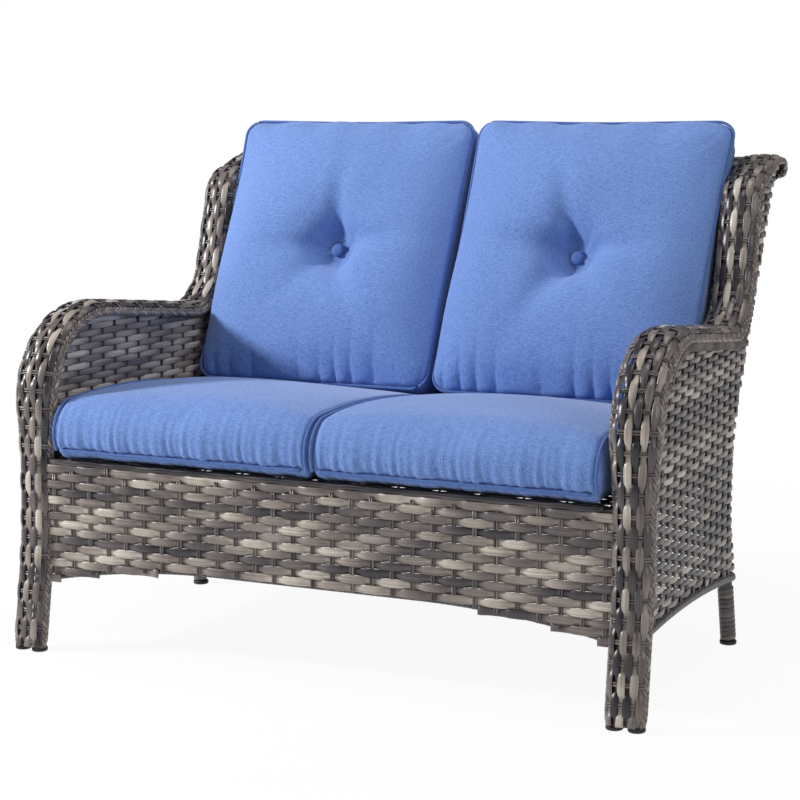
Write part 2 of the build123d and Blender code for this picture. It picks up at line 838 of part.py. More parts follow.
def zip_parts(plane, place):
    """A closed zip along the middle of a plane, and its slider with a pull at one end."""
    with BuildPart() as teeth:
        with BuildSketch(plane):
            with Locations((0, place)):
                Rectangle(zip_length, zip_width)
        extrude(amount=zip_height)
    start = (slider_length - zip_length) / 2
    with BuildPart() as slider:
        with BuildSketch(plane.offset(zip_height + clear)):
            with Locations((start, place)):
                Rectangle(slider_length, slider_width)
        extrude(amount=slider_height)
        fillet(slider.edges().filter_by(Axis(plane.origin, plane.z_dir)), slider_width / 3)
        with BuildSketch(plane.offset(zip_height + clear + slider_height)):
            with Locations((start - slider_length / 2, place)):
                SlotOverall(2 * slider_length, pull_width)
        extrude(amount=slider_height / 2)
    return teeth.part, slider.part


with BuildPart() as seat_cover:
    add(hollow(seat_form(0), seat_form(cloth), seat_seams(piping_channel)))
save_pair(seat_cover.part, "seat_cover")

with BuildPart() as seat_core:
    add(seat_form(cloth + clear))
    for seam in seat_seams(piping_channel + cloth):
        add(seam, mode=Mode.SUBTRACT)
save_pair(seat_core.part, "seat_core")
save_seams(seat_seams(piping_radius), "seat_piping")

seat_rear_plane = Plane(
    origin=(seat_middle, front_line + seat_front + seat_depth, seat_bottom),
    x_dir=(-1, 0, 0), z_dir=(0, 1, 0),
)
seat_zip, seat_slider = zip_parts(seat_rear_plane, rear_shoulder / 2)
save_pair(seat_zip, "seat_zip")
save_pair(seat_slider, "seat_zip_slider")

# Back cushions lean on the woven back. Their plane lies in the front seam, Y up the lean.
back_middle = (seat_gap + back_width) / 2 + 2 * piping_radius + piping_gap
back_line = back_foot_set + (back_foot_height - deck_top - clear) * back_lean_share
seam_set = back_line - (boxing + clear) / cos(back_lean)
back_plane = Plane(
    origin=(back_middle, front_line + seam_set, back_foot_height),
    x_dir=(1, 0, 0), z_dir=(0, -cos(back_lean), sin(back_lean)),
)
tuft_level = back_crown - tuft_depth


def back_section(level, scale, swell, shrink):
    """Outline of a back cushion at one level: drawn-in sides between full corners."""
    half = (back_width / 2 - shrink) * scale + swell
    centre = back_length / 2
    low = centre - (centre - shrink) * scale
    high = centre + (centre - shrink) * scale + swell
    draw = side_draw_in * scale
    full, bent = corner_radius * scale, side_bend_radius * scale
    with BuildSketch(back_plane.offset(level)) as section:
        with BuildLine():
            FilletPolyline(
                (-half, low), (half, low), (half - draw, centre), (half, high), (0, high - draw),
                (-half, high), (-half + draw, centre), close=True,
                radius=[full, full, bent, full, bent, full, bent],
            )
        make_face()
    return section.sketch


def tuft_cut(shrink):
    """The deep tuft that the front button pulls, and the dimple of the rear button."""
    floor = tuft_level - shrink
    rim = back_crown + 1.5 * cloth
    mouth = button_radius + clear + shrink
    dimple = -boxing + button_height + 2 * clear + shrink
    axis_plane = Plane(
        origin=back_plane.from_local_coords((0, back_length / 2, 0)),
        x_dir=(1, 0, 0), z_dir=back_plane.y_dir,
    )
    with BuildPart() as cut:
        with BuildSketch(axis_plane) as profile:
            with BuildLine():
                Polyline((0, -floor), (0, -rim), (tuft_radius, -rim), (tuft_radius, -back_crown + shrink))
                ThreePointArc(
                    (tuft_radius, -back_crown + shrink),
                    ((tuft_radius + 2 * mouth) / 3, (-2 * back_crown - tuft_level) / 3 + shrink),
                    (mouth, -floor),
                )
                Line((mouth, -floor), (0, -floor))
            make_face()
        revolve(axis=Axis(axis_plane.origin, back_plane.z_dir))
        with BuildSketch(back_plane.offset(-boxing - overrun)):
            with Locations((0, back_length / 2)):
                Circle(mouth)
        extrude(amount=dimple + boxing + overrun)
    return cut.part


def back_form(shrink):
    """Body of a back cushion: swelling boxed sides, a crowned front and the tuft."""
    crown = [
        back_section(level * (back_crown - shrink), scale, 0, shrink).face()
        for level, scale in back_crown_shares
    ]
    with BuildPart() as form:
        loft([
            back_section(-boxing + shrink, 1, 0, shrink).face(),
            back_section(-boxing / 2, 1, boxing_swell, shrink).face(),
            back_section(0, 1, 0, shrink).face(),
        ])
        loft(crown)
        add(tuft_cut(shrink), mode=Mode.SUBTRACT)
    return form.part


def tuft_hole(radius):
    """Straight hole or cord through the middle of a back cushion, button to button."""
    with BuildPart() as hole:
        with BuildSketch(back_plane.offset(-boxing + button_height + 2 * clear)):
            with Locations((0, back_length / 2)):
                Circle(radius)
        extrude(amount=boxing - button_height - 2 * clear + tuft_level)
    return hole.part


with BuildPart() as back_cover:
    add(hollow(back_form(0), back_form(cloth), []))
    add(tuft_hole(cord_radius + clear), mode=Mode.SUBTRACT)
save_pair(back_cover.part, "back_cover")

with BuildPart() as back_core:
    add(back_form(cloth + clear))
    add(tuft_hole(cord_radius + clear), mode=Mode.SUBTRACT)
save_pair(back_core.part, "back_core")
save_seams(back_seams(piping_radius), "back_piping")
save_pair(tuft_hole(cord_radius), "tuft_cord")

# Covered buttons at both ends of the tuft cord.
with BuildPart() as back_buttons:
    for level, way in ((tuft_level, 1), (-boxing + button_height + 2 * clear, -1)):
        with BuildPart(mode=Mode.PRIVATE) as button:
            with BuildSketch(back_plane.offset(level)):
                with Locations((0, back_length / 2)):
                    Circle(button_radius)
            extrude(amount=way * button_height)
            fillet(button.faces().sort_by(Axis(back_plane.origin, back_plane.z_dir * way))[-1].edges(),
                   button_height / 2)
        add(button.part)
save_pair(back_buttons.part, "back_buttons")

back_zip_plane = Plane(
    origin=back_plane.from_local_coords((0, 0, 0)), x_dir=(1, 0, 0), z_dir=-back_plane.y_dir
)
back_zip, back_slider = zip_parts(back_zip_plane, -boxing * zip_place_share)
save_pair(back_zip, "back_zip")
save_pair(back_slider, "back_zip_slider")
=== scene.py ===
"""Looks of a woven patio loveseat: strands on a steel frame, loose seat and back cushions."""
import json
import math

import bpy
import numpy as np
from mathutils import Matrix, Vector


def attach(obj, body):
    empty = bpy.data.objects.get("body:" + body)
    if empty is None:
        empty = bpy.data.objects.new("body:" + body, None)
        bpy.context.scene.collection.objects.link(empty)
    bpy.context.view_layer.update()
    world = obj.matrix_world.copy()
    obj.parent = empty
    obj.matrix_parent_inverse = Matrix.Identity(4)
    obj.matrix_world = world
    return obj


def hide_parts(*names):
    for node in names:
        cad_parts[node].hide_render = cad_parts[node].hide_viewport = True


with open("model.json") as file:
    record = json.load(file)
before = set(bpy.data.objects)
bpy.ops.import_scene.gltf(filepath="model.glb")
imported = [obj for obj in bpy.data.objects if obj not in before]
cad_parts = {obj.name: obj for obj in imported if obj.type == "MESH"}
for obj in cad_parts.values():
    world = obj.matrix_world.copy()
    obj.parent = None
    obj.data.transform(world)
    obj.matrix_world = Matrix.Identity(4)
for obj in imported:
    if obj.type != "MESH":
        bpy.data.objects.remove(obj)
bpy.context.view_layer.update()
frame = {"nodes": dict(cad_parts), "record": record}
nodes = frame["nodes"]

# Camera. A long lens, a little above the seat, turned 26 degrees to the left:
# it stands to the right in front of the loveseat, where the photograph was taken.
front_line = -0.42085
yaw, pitch, roll = map(math.radians, (26.15272, 8.36585, -0.29656))
forward = Vector((
    -math.sin(yaw) * math.cos(pitch), math.cos(yaw) * math.cos(pitch), -math.sin(pitch)))
level = Vector((math.cos(yaw), math.sin(yaw), 0))
above = level.cross(forward)
right = math.cos(roll) * level + math.sin(roll) * above
above = math.cos(roll) * above - math.sin(roll) * level
camera = bpy.data.objects.new("camera", bpy.data.cameras.new("camera"))
bpy.context.scene.collection.objects.link(camera)
camera.data.lens = 92.65
camera.data.clip_end = 50
eye = Vector((1.6984, front_line - 3.0966, 1.0270))
camera.matrix_world = Matrix((
    (right.x, above.x, -forward.x, eye.x),
    (right.y, above.y, -forward.y, eye.y),
    (right.z, above.z, -forward.z, eye.z),
    (0, 0, 0, 1),
))
bpy.context.scene.camera = camera
bpy.context.scene.view_settings.view_transform = "Standard"


def shade(code):
    """An sRGB hex colour as linear RGBA."""
    channels = [int(code[i:i + 2], 16) / 255 for i in (0, 2, 4)]
    return (*[c / 12.92 if c <= 0.04045 else ((c + 0.055) / 1.055) ** 2.4 for c in channels], 1)


def node(tree, kind, inputs=(), **settings):
    """Adds a node, sets its properties, then its inputs: a socket is linked, a value is stored."""
    made = tree.nodes.new(kind)
    for key, value in settings.items():
        setattr(made, key, value)
    for key, value in dict(inputs).items():
        if isinstance(value, bpy.types.NodeSocket):
            tree.links.new(value, made.inputs[key])
        else:
            made.inputs[key].default_value = value
    return made


def blank(name):
    """A material with its tree emptied down to a Principled shader and its output."""
    made = bpy.data.materials.new(name)
    made.use_nodes = True
    tree = made.node_tree
    tree.nodes.clear()
    shader = node(tree, "ShaderNodeBsdfPrincipled")
    node(tree, "ShaderNodeOutputMaterial", {"Surface": shader.outputs[0]})
    return made, tree, shader


# Floor and light. A pale floor that the camera sees as almost white, and studio light: a
# small lamp on the left whose shadow of the arm falls on the back cushion, weaker ones
# from the right and from above.
floor_mesh = bpy.data.meshes.new("studio_floor")
floor_mesh.from_pydata([(-30, -30, 0), (30, -30, 0), (30, 30, 0), (-30, 30, 0)], [], [(0, 1, 2, 3)])
floor = bpy.data.objects.new("studio_floor", floor_mesh)
bpy.context.scene.collection.objects.link(floor)
paper, tree, shader = blank("pale_paper_floor")
shader.inputs["Base Color"].default_value = shade("f6f6f5")
shader.inputs["Roughness"].default_value = 0.9
shader.inputs["Specular IOR Level"].default_value = 0.1
ways = node(tree, "ShaderNodeLightPath")
geometry = node(tree, "ShaderNodeNewGeometry")
distance = node(tree, "ShaderNodeVectorMath", {0: geometry.outputs["Position"]}, operation="LENGTH")
away = node(tree, "ShaderNodeMapRange", {
    "Value": distance.outputs["Value"], "From Min": 0.8, "From Max": 2.0, "To Min": 0.93})
seen = node(tree, "ShaderNodeMath", {
    0: ways.outputs["Is Camera Ray"], 1: ways.outputs["Is Glossy Ray"]}, operation="MAXIMUM")
veil = node(tree, "ShaderNodeMath", {0: seen.outputs[0], 1: away.outputs[0]}, operation="MULTIPLY")
white = node(tree, "ShaderNodeEmission", {"Color": (1, 1, 1, 1), "Strength": 1.0})
mixed = node(tree, "ShaderNodeMixShader", {
    0: veil.outputs[0], 1: shader.outputs[0], 2: white.outputs[0]})
tree.links.new(mixed.outputs[0], tree.nodes["Material Output"].inputs["Surface"])
floor_mesh.materials.append(paper)

world = bpy.data.worlds.new("studio_white")
bpy.context.scene.world = world
world.use_nodes = True
tree = world.node_tree
tree.nodes.clear()
ways = node(tree, "ShaderNodeLightPath")
dim = node(tree, "ShaderNodeBackground", {"Color": (1, 1, 1, 1), "Strength": 0.23})
full = node(tree, "ShaderNodeBackground", {"Color": (1, 1, 1, 1), "Strength": 1.0})
mixed = node(tree, "ShaderNodeMixShader", {
    0: ways.outputs["Is Camera Ray"], 1: dim.outputs[0], 2: full.outputs[0]})
node(tree, "ShaderNodeOutputWorld", {"Surface": mixed.outputs[0]})

aim = Vector((0, 0, 0.45))
for name, place, size, power in (
    ("key_lamp", (-3.4, -1.8, 2.15), 0.45, 172),
    ("fill_lamp", (3.2, -1.4, 1.9), 1.6, 28),
    ("top_lamp", (0.5, 0.0, 3.6), 1.6, 36),
):
    lamp = bpy.data.objects.new(name, bpy.data.lights.new(name, "AREA"))
    lamp.data.size = size
    lamp.data.energy = power
    lamp.location = place
    lamp.rotation_euler = (aim - Vector(place)).to_track_quat("-Z", "Y").to_euler()
    bpy.context.scene.collection.objects.link(lamp)


# Wicker. Extruded half-round polyethylene strand in mixed greys: taupe, brown-grey and
# a dark slate, each with fine ridges along it and a satin face that catches the light.
def wicker_finish(name, stops):
    """Satin strand: the tone attribute picks a colour between the stops, and stretched noise
    along the strand's own UV darkens and lifts it in ridges."""
    made, tree, shader = blank(name)
    strip = node(tree, "ShaderNodeAttribute", attribute_name="tone")
    ramp = node(tree, "ShaderNodeValToRGB", {"Fac": strip.outputs["Fac"]})
    while len(ramp.color_ramp.elements) < len(stops):
        ramp.color_ramp.elements.new(0.5)
    for stop, (place, code) in zip(ramp.color_ramp.elements, stops):
        stop.position = place
        stop.color = shade(code)
    along = node(tree, "ShaderNodeUVMap", uv_map="strand")
    # The ridges are 1.6 mm apart, a little coarser than the real ones, so that they show.
    long_way = node(tree, "ShaderNodeMapping", {"Vector": along.outputs[0], "Scale": (9, 620, 1)})
    streak = node(tree, "ShaderNodeTexNoise", {
        "Vector": long_way.outputs[0], "Scale": 1.0, "Detail": 3.0})
    fleck = node(tree, "ShaderNodeMapRange", {
        "Value": streak.outputs["Fac"], "From Min": 0.3, "From Max": 0.7,
        "To Min": 0.62, "To Max": 1.30})
    tinted = node(tree, "ShaderNodeMix", {0: 1.0, 6: ramp.outputs[0], 7: fleck.outputs[0]},
                  data_type="RGBA", blend_type="MULTIPLY")
    tree.links.new(tinted.outputs[2], shader.inputs["Base Color"])
    bump = node(tree, "ShaderNodeBump", {
        "Height": streak.outputs["Fac"], "Strength": 0.45, "Distance": 0.0006})
    tree.links.new(bump.outputs[0], shader.inputs["Normal"])
    shader.inputs["Roughness"].default_value = 0.34
    shader.inputs["IOR"].default_value = 1.52
    return made


wicker = wicker_finish("polyethylene_strand_mixed_grey", (
    (0.0, "2a272b"), (0.28, "494346"), (0.52, "6a615f"),
    (0.75, "867c75"), (0.92, "a69c92"), (1.0, "bdb4a9"),
))
dark_wicker = wicker_finish("polyethylene_strand_dark", (
    (0.0, "29262a"), (0.5, "4a4446"), (1.0, "7b726b"),
))
tones = np.random.default_rng(11)
ring = np.linspace(0, 2 * np.pi, 8, endpoint=False)
ring_x = np.sign(np.cos(ring)) * np.abs(np.cos(ring)) ** 0.8 / 2
ring_y = np.sign(np.sin(ring)) * np.abs(np.sin(ring)) ** 0.8 / 2


def strand(centre, normal, width, thickness, tone=None, swing=0.22):
    """One strand: a flattened oval carried along a path.

    Each ring is centre + side * width * x + normal * thickness * y, where side is the path's
    tangent crossed with the normal. Tone is one draw per strand plus a slow wave along it."""
    step = np.gradient(centre, axis=0)
    step /= np.linalg.norm(step, axis=1, keepdims=True) + 1e-12
    side = np.cross(step, normal)
    side /= np.linalg.norm(side, axis=1, keepdims=True) + 1e-12
    out = np.cross(side, step)
    width = np.broadcast_to(width, len(centre))
    rings = (centre[:, None] + side[:, None] * (ring_x * width[:, None])[:, :, None]
             + out[:, None] * (ring_y * thickness)[None, :, None])
    run = np.r_[0, np.cumsum(np.linalg.norm(np.diff(centre, axis=0), axis=1))]
    start = tones.uniform(0, 10)
    base = tones.uniform(0.02, 0.98) if tone is None else tone + tones.uniform(-0.12, 0.12)
    hue = np.clip(base + swing * np.sin(run * 9 + start * 5) * np.sin(run * 23 + start), 0, 1)
    return rings, run + start, hue


def weave_piece(name, strands, material, body, replaced):
    """All strands of a piece as one mesh of quads, with length and girth as UV and its tone."""
    count = len(ring)
    points, quads, caps, uv, hues = [], [], [], [], []
    first = 0
    for rings, run, hue in strands:
        n = len(rings)
        points.append(rings.reshape(-1, 3))
        index = first + np.arange(n * count).reshape(n, count)
        turned = np.roll(index, -1, axis=1)
        between = np.stack([index[:-1], index[1:], turned[1:], turned[:-1]], axis=-1)
        quads.append(between.reshape(-1, 4))
        girth = np.linspace(0, 0.024, count + 1)
        u0, u1 = np.repeat(run[:-1], count), np.repeat(run[1:], count)
        v0, v1 = np.tile(girth[:-1], n - 1), np.tile(girth[1:], n - 1)
        uv.append(np.stack([u0, v0, u1, v0, u1, v1, u0, v1], axis=1).reshape(-1, 2))
        caps += [index[0].tolist(), index[-1][::-1].tolist()]
        hues.append(np.repeat(hue, count))
        first += n * count
    faces = np.concatenate(quads)
    mesh = bpy.data.meshes.new(name)
    mesh.from_pydata(np.concatenate(points), [], faces.tolist() + caps)
    layer = mesh.uv_layers.new(name="strand")
    flat = np.zeros((len(mesh.loops), 2))
    laid = np.concatenate(uv)
    flat[:len(laid)] = laid
    layer.data.foreach_set("uv", flat.ravel())
    mesh.attributes.new("tone", "FLOAT", "POINT").data.foreach_set("value", np.concatenate(hues))
    mesh.shade_smooth()
    mesh.materials.append(material)
    piece = bpy.data.objects.new(name, mesh)
    bpy.context.scene.collection.objects.link(piece)
    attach(piece, body)
    if replaced:
        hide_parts(*replaced)
    return piece


# Arm band. One long crowned band covers both tubes of each side, from the front foot over
# the rolled arm, down to the crook and up the wing to the scroll. Lengthwise strands run
# over and under pairs of thin wires, and a twisted border is bound along both edges.
toe_in = math.radians(2.2)
side_at = 0.592  # half the distance between the middles of the two sides, at the front
foot_top = 0.0045
scroll_at, scroll_radius = (0.850, 0.888), 0.0207
crest_corners = np.array([
    (-0.030, 0), (0, 0.210), (0.010, 0.659), (0.586, 0.600),
    (0.661, 0.868), (0.790, 0.9087), (0.850, 0.9087),
])
crest_radii = (0.900, 0.180, 0.100, 0.060, 0.070)


def rounded(corners, radii, step):
    """Points at even steps along straight runs whose corners are rounded by tangent arcs."""
    points = [corners[:1]]
    for before, corner, after, radius in zip(corners, corners[1:], corners[2:], radii):
        a = (before - corner) / np.linalg.norm(before - corner)
        b = (after - corner) / np.linalg.norm(after - corner)
        half = np.arccos(np.clip(a @ b, -1, 1)) / 2
        centre = corner + (a + b) / np.linalg.norm(a + b) * radius / np.sin(half)
        reach = radius / np.tan(half)
        first, last = corner + a * reach - centre, corner + b * reach - centre
        turn = np.arctan2(first[0] * last[1] - first[1] * last[0], first @ last)
        angle = np.linspace(0, turn, 60)[:, None]
        across = np.array([-first[1], first[0]])
        points.append(centre + np.cos(angle) * first + np.sin(angle) * across)
    points.append(corners[-1:])
    line = np.concatenate(points)
    length = np.r_[0, np.cumsum(np.linalg.norm(np.diff(line, axis=0), axis=1))]
    even = np.linspace(0, length[-1], max(2, int(round(length[-1] / step)) + 1))
    return np.stack([np.interp(even, length, line[:, k]) for k in (0, 1)], axis=1), even


def in_side(sign, u, w, z):
    """Points of a side frame: u back along the toed-in side, w outwards, z up."""
    x = side_at + w * math.cos(toe_in) - u * math.sin(toe_in)
    y = front_line + u * math.cos(toe_in) + w * math.sin(toe_in)
    return np.stack(np.broadcast_arrays(sign * x, y, z), axis=-1)


band_step = 0.0045
crest_line, _ = rounded(crest_corners, crest_radii, band_step)
curl = np.linspace(np.pi / 2, -np.pi * 0.62, 16)[1:, None]
crest_line = np.concatenate([
    crest_line[crest_line[:, 1] > foot_top],
    np.array(scroll_at) + scroll_radius * np.concatenate([np.cos(curl), np.sin(curl)], axis=1),
])
crest_run = np.r_[0, np.cumsum(np.linalg.norm(np.diff(crest_line, axis=0), axis=1))]
crest_step = np.gradient(crest_line, axis=0)
crest_step /= np.linalg.norm(crest_step, axis=1, keepdims=True)
crest_in = np.stack([crest_step[:, 1], -crest_step[:, 0]], axis=1)
# The band narrows from the arm to the leg and the wing, and again in the last 34 mm of the foot.
half_width = np.minimum(
    np.interp(crest_line[:, 1], (0.363, 0.480), (0.0325, 0.042)),
    np.interp(crest_line[:, 0], (0.480, 0.600), (0.042, 0.036)),
)
half_width = half_width * (1 - 0.20 * np.clip(1 - crest_line[:, 1] / 0.034, 0, 1) ** 2)
crown = np.interp(crest_line[:, 0], (0.68, 0.80), (0.023, 0.011))
crown = np.minimum(crown, np.interp(crest_line[:, 1], (0, 0.3), (0.016, 0.023)))
arch_power, arch_half, arch_depth = 2.3, 0.038, 0.023
arch_q = np.sin(np.linspace(-np.pi / 2, np.pi / 2, 201))
arch_d = 1 - (1 - np.abs(arch_q) ** arch_power) ** (1 / arch_power)
arch_run = np.r_[0, np.cumsum(np.hypot(np.diff(arch_q) * arch_half, np.diff(arch_d) * arch_depth))]
arch_run = 2 * arch_run / arch_run[-1] - 1


def on_band(sign, share, lift=0.0, rows=slice(None)):
    """Points and normals of the crowned band at a share across it, from -1 to 1.

    Across the band the depth under the crest follows a rounded arch of power 2.3."""
    q = np.interp(share, arch_run, arch_q)
    d = np.interp(share, arch_run, arch_d)
    before, after = share - 0.01, share + 0.01
    slope_q = np.interp(after, arch_run, arch_q) - np.interp(before, arch_run, arch_q)
    slope_d = np.interp(after, arch_run, arch_d) - np.interp(before, arch_run, arch_d)
    w = q * half_width[rows]
    depth = d * crown[rows]
    dw, dd = slope_q * half_width[rows], slope_d * crown[rows]
    size = np.hypot(dw, dd) + 1e-9
    n_w, n_d = dd / size, -dw / size
    u = crest_line[rows, 0] + crest_in[rows, 0] * depth
    z = crest_line[rows, 1] + crest_in[rows, 1] * depth
    nu, nz = crest_in[rows, 0] * n_d, crest_in[rows, 1] * n_d
    normal = in_side(sign, nu, n_w, nz) - in_side(sign, 0 * nu, 0, 0 * nz)
    point = in_side(sign, u, w, z) + normal * np.asarray(lift)[..., None]
    return point, normal


def twist(centre, normal, radius, pitch, count, width, thickness, turn=1, tone=None):
    """Strands wound round a line: each at radius * (normal cos a + side sin a).

    The angle a grows by a full turn over each pitch of length."""
    step = np.gradient(centre, axis=0)
    run = np.r_[0, np.cumsum(np.linalg.norm(np.diff(centre, axis=0), axis=1))]
    step /= np.linalg.norm(step, axis=1, keepdims=True) + 1e-12
    side = np.cross(step, normal)
    wound = []
    for k in range(count):
        angle = turn * 2 * np.pi * run / pitch + 2 * np.pi * k / count
        away = np.cos(angle)[:, None] * normal + np.sin(angle)[:, None] * side
        wound.append(strand(centre + radius * away, away, width, thickness, tone))
    return wound


def under_and_over(run, pitch, k):
    """A squared wave, tanh(2 cos) / tanh(2): 1 over a pair of wires, -1 under the next."""
    return np.tanh(2.0 * np.cos(np.pi * run / pitch + np.pi * k)) / math.tanh(2.0)


band_columns = 6
band_edge = 0.73  # share of the band's half width that the columns fill
tie_pitch = 0.0345
loop_pitch, loop_drop, loop_height, loop_depth = 0.0105, 0.0085, 0.0062, 0.0016
for sign, side in ((1, "right"), (-1, "left")):
    strands = []
    for k in range(band_columns):
        share = -band_edge + (k + 0.5) * 2 * band_edge / band_columns
        over = under_and_over(crest_run, tie_pitch, k)
        point, normal = on_band(sign, share, 0.0024 * over + 0.0020)
        strands.append(strand(
            point, normal, width=0.0122 + 0.0016 * over, thickness=0.0028, swing=0.35))
    across = np.linspace(-band_edge - 0.1, band_edge + 0.1, 20)
    for place in np.arange(tie_pitch, crest_run[-1], tie_pitch):
        for gap in (-0.0022, 0.0022):
            row = np.argmin(np.abs(crest_run - place - gap))
            wire = [on_band(sign, share, 0.0026, slice(row, row + 1)) for share in across]
            line = np.concatenate([point for point, _ in wire])
            out = np.concatenate([normal for _, normal in wire])
            shift = (place + gap - crest_run[row]) * crest_step[row]
            line = line + (in_side(sign, shift[0], 0, shift[1]) - in_side(sign, 0, 0, 0))
            strands.append(strand(line, out, width=0.0036, thickness=0.0030, tone=0.45))
    for share, turn in ((-0.80, -1), (-0.93, 1), (0.93, 1), (0.80, -1)):
        point, normal = on_band(sign, share, lift=-0.0004)
        strands += twist(point, normal, radius=0.0036, pitch=0.034, count=3,
                         width=0.0062, thickness=0.0034, turn=turn, tone=0.68)
    # A looped edging hangs under the outer border along the level part of the arm.
    arm = (crest_line[:, 0] > 0.055) & (crest_line[:, 0] < 0.600) & (crest_line[:, 1] > 0.5)
    point, normal = on_band(sign, share=0.97, lift=0.0022)
    even = np.arange(crest_run[arm][0], crest_run[arm][-1], 0.0010)
    angle = 2 * np.pi * even / loop_pitch
    line = np.stack([np.interp(even, crest_run, point[:, i]) for i in range(3)], axis=1)
    out = np.stack([np.interp(even, crest_run, normal[:, i]) for i in range(3)], axis=1)
    line[:, 2] -= loop_drop + loop_height * np.sin(angle)
    line += out * (loop_depth * np.cos(angle))[:, None]
    strands.append(strand(line, out, width=0.0042, thickness=0.0030, tone=0.5))
    weave_piece(f"{side}_band_strands", strands, wicker, "frame", [f"{side}_arm_band"])


# Side panels. Flat half-round strands run level from the front leg to the rear one, over and
# under pairs of upright wires; the outer panel turns round the rear leg. Each row is clipped
# to the outline that the band, the leg and the arched lower edge leave.
panel_at = 0.029  # distance of both skins from the middle of the side
side_depth = 0.86
leg_corners = np.array([(0.582, 0), (0.514, 0.258), (0.526, 0.425), (0.791, 0.870)])
leg_line, _ = rounded(leg_corners, (0.220, 0.260), 0.004)
leg_step = np.gradient(leg_line, axis=0)
leg_step /= np.linalg.norm(leg_step, axis=1, keepdims=True)
leg_back = leg_line + 0.0153 * np.stack([leg_step[:, 1], -leg_step[:, 0]], axis=1)
under_crest = (crest_line + 0.017 * crest_in)[crest_line[:, 0] < 0.845]
hem_peak, hem_clearance = 0.16, 0.0115
hem_u = np.linspace(-0.03, 0.62, 60)
hem_z = 0.1625 - 0.00019 * ((hem_u - hem_peak) / 0.012) ** 2 * 0.13
hem_fall = slice(None, np.searchsorted(hem_u, hem_peak), -1)
stake_pitch = 0.039


def crossings(outline, axis, value):
    """Places where a closed outline crosses a level line, sorted and taken in pairs."""
    a = outline[:, axis] - value
    b = np.roll(a, -1)
    hit = np.flatnonzero((a < 0) != (b < 0))
    other = outline[:, 1 - axis]
    place = other[hit] + (np.roll(other, -1)[hit] - other[hit]) * a[hit] / (a[hit] - b[hit])
    place = np.sort(place)
    return [(p, q) for p, q in zip(place[::2], place[1::2]) if q - p > 0.012]


def level_rows(outline, row_pitch, start):
    """Row heights of a panel, with the runs that each one covers."""
    top = outline[:, 1].max()
    for k, height in enumerate(np.arange(start, top, row_pitch)):
        for low, high in crossings(outline, 1, height):
            yield k, height, low, high


panel_outline = np.concatenate([under_crest, leg_back[::-1]])
for sign, side in ((1, "right"), (-1, "left")):
    strands = []
    for k, height, low, high in level_rows(panel_outline, row_pitch=0.0103, start=0.137):
        if height < hem_z.max() + hem_clearance:
            low = max(low, np.interp(height, hem_z[hem_fall] + hem_clearance, hem_u[hem_fall]))
        if high - low < 0.02:
            continue
        bend = 0.014
        flat = np.arange(low, high - bend, 0.0056)
        turn = np.linspace(0, np.pi / 2, 6)
        back = np.linspace(panel_at - bend, -0.026, 8)[1:]
        at_leg = abs(high - np.interp(height, leg_back[:, 1], leg_back[:, 0])) < 0.012
        u = np.r_[flat, high - bend + bend * np.sin(turn), np.full(len(back), high)]
        w = np.r_[np.full(len(flat), panel_at), panel_at - bend + bend * np.cos(turn), back]
        n_u = np.r_[np.zeros(len(flat)), np.sin(turn), np.ones(len(back))]
        n_w = np.r_[np.ones(len(flat)), np.cos(turn), np.zeros(len(back))]
        if not at_leg:
            keep = slice(0, len(flat))
            u, w, n_u, n_w = u[keep], w[keep], n_u[keep], n_w[keep]
        if len(u) < 4:
            continue
        run = np.r_[0, np.cumsum(np.hypot(np.diff(u), np.diff(w)))] + low
        wave = 0.0020 * under_and_over(run, stake_pitch, k) * n_w ** 2
        normal = in_side(sign, n_u, n_w, 0 * u) - in_side(sign, 0, 0, 0)
        line = in_side(sign, u, w, np.full(len(u), height)) + normal * wave[:, None]
        strands.append(strand(
            line, normal, width=0.0112, thickness=0.0026, tone=tones.uniform(0.15, 0.90)))
    for place in np.arange(0, side_depth, stake_pitch):
        for low, high in crossings(panel_outline, 0, place):
            # Along the rear leg the skin turns inwards, so the wires end above that bend.
            low = max(low + (0.028 if place > 0.53 else 0), np.interp(place, hem_u, hem_z))
            if high - low < 0.03:
                continue
            z = np.arange(low, high, 0.03)
            for gap in (-0.0030, 0.0030):
                line = in_side(sign, np.full(len(z), place + gap), 0.0300, z)
                normal = in_side(sign, 0 * z, np.ones(len(z)), 0 * z) - in_side(sign, 0, 0, 0)
                if len(z) > 2:
                    strands.append(strand(line, normal, width=0.0048, thickness=0.0030, tone=0.3))
    weave_piece(
        f"{side}_outer_panel_strands", strands, wicker, "frame", [f"{side}_outer_side_weave"])

    strands = []
    # Painted light: the inner panel's strands take tones from 0.70 to 1.0, where the outer panel's
    # take 0.15 to 0.90. This lifts the inner side, which stands in the shade of the seat and arms,
    # to the brightness of the outer one.
    for k, height, low, high in level_rows(panel_outline, row_pitch=0.0120, start=0.368):
        u = np.arange(low, high, 0.0060)
        wave = 0.0017 * under_and_over(u, stake_pitch, k)
        normal = in_side(sign, 0 * u, -np.ones(len(u)), 0 * u) - in_side(sign, 0, 0, 0)
        line = in_side(sign, u, -panel_at, np.full(len(u), height)) + normal * wave[:, None]
        if len(u) > 3:
            strands.append(strand(
                line, normal, width=0.0126, thickness=0.0025, tone=tones.uniform(0.70, 1.0)))
    for place in np.arange(0, side_depth, stake_pitch):
        for low, high in crossings(panel_outline, 0, place):
            z = np.arange(max(low, 0.362), high, 0.03)
            for gap in (-0.0024, 0.0024):
                line = in_side(sign, np.full(len(z), place + gap), -0.0292, z)
                normal = in_side(sign, 0 * z, -np.ones(len(z)), 0 * z) - in_side(sign, 0, 0, 0)
                if len(z) > 2:
                    strands.append(strand(line, normal, width=0.0034, thickness=0.0026, tone=0.3))
    weave_piece(
        f"{side}_inner_panel_strands", strands, wicker, "frame", [f"{side}_inner_side_weave"])


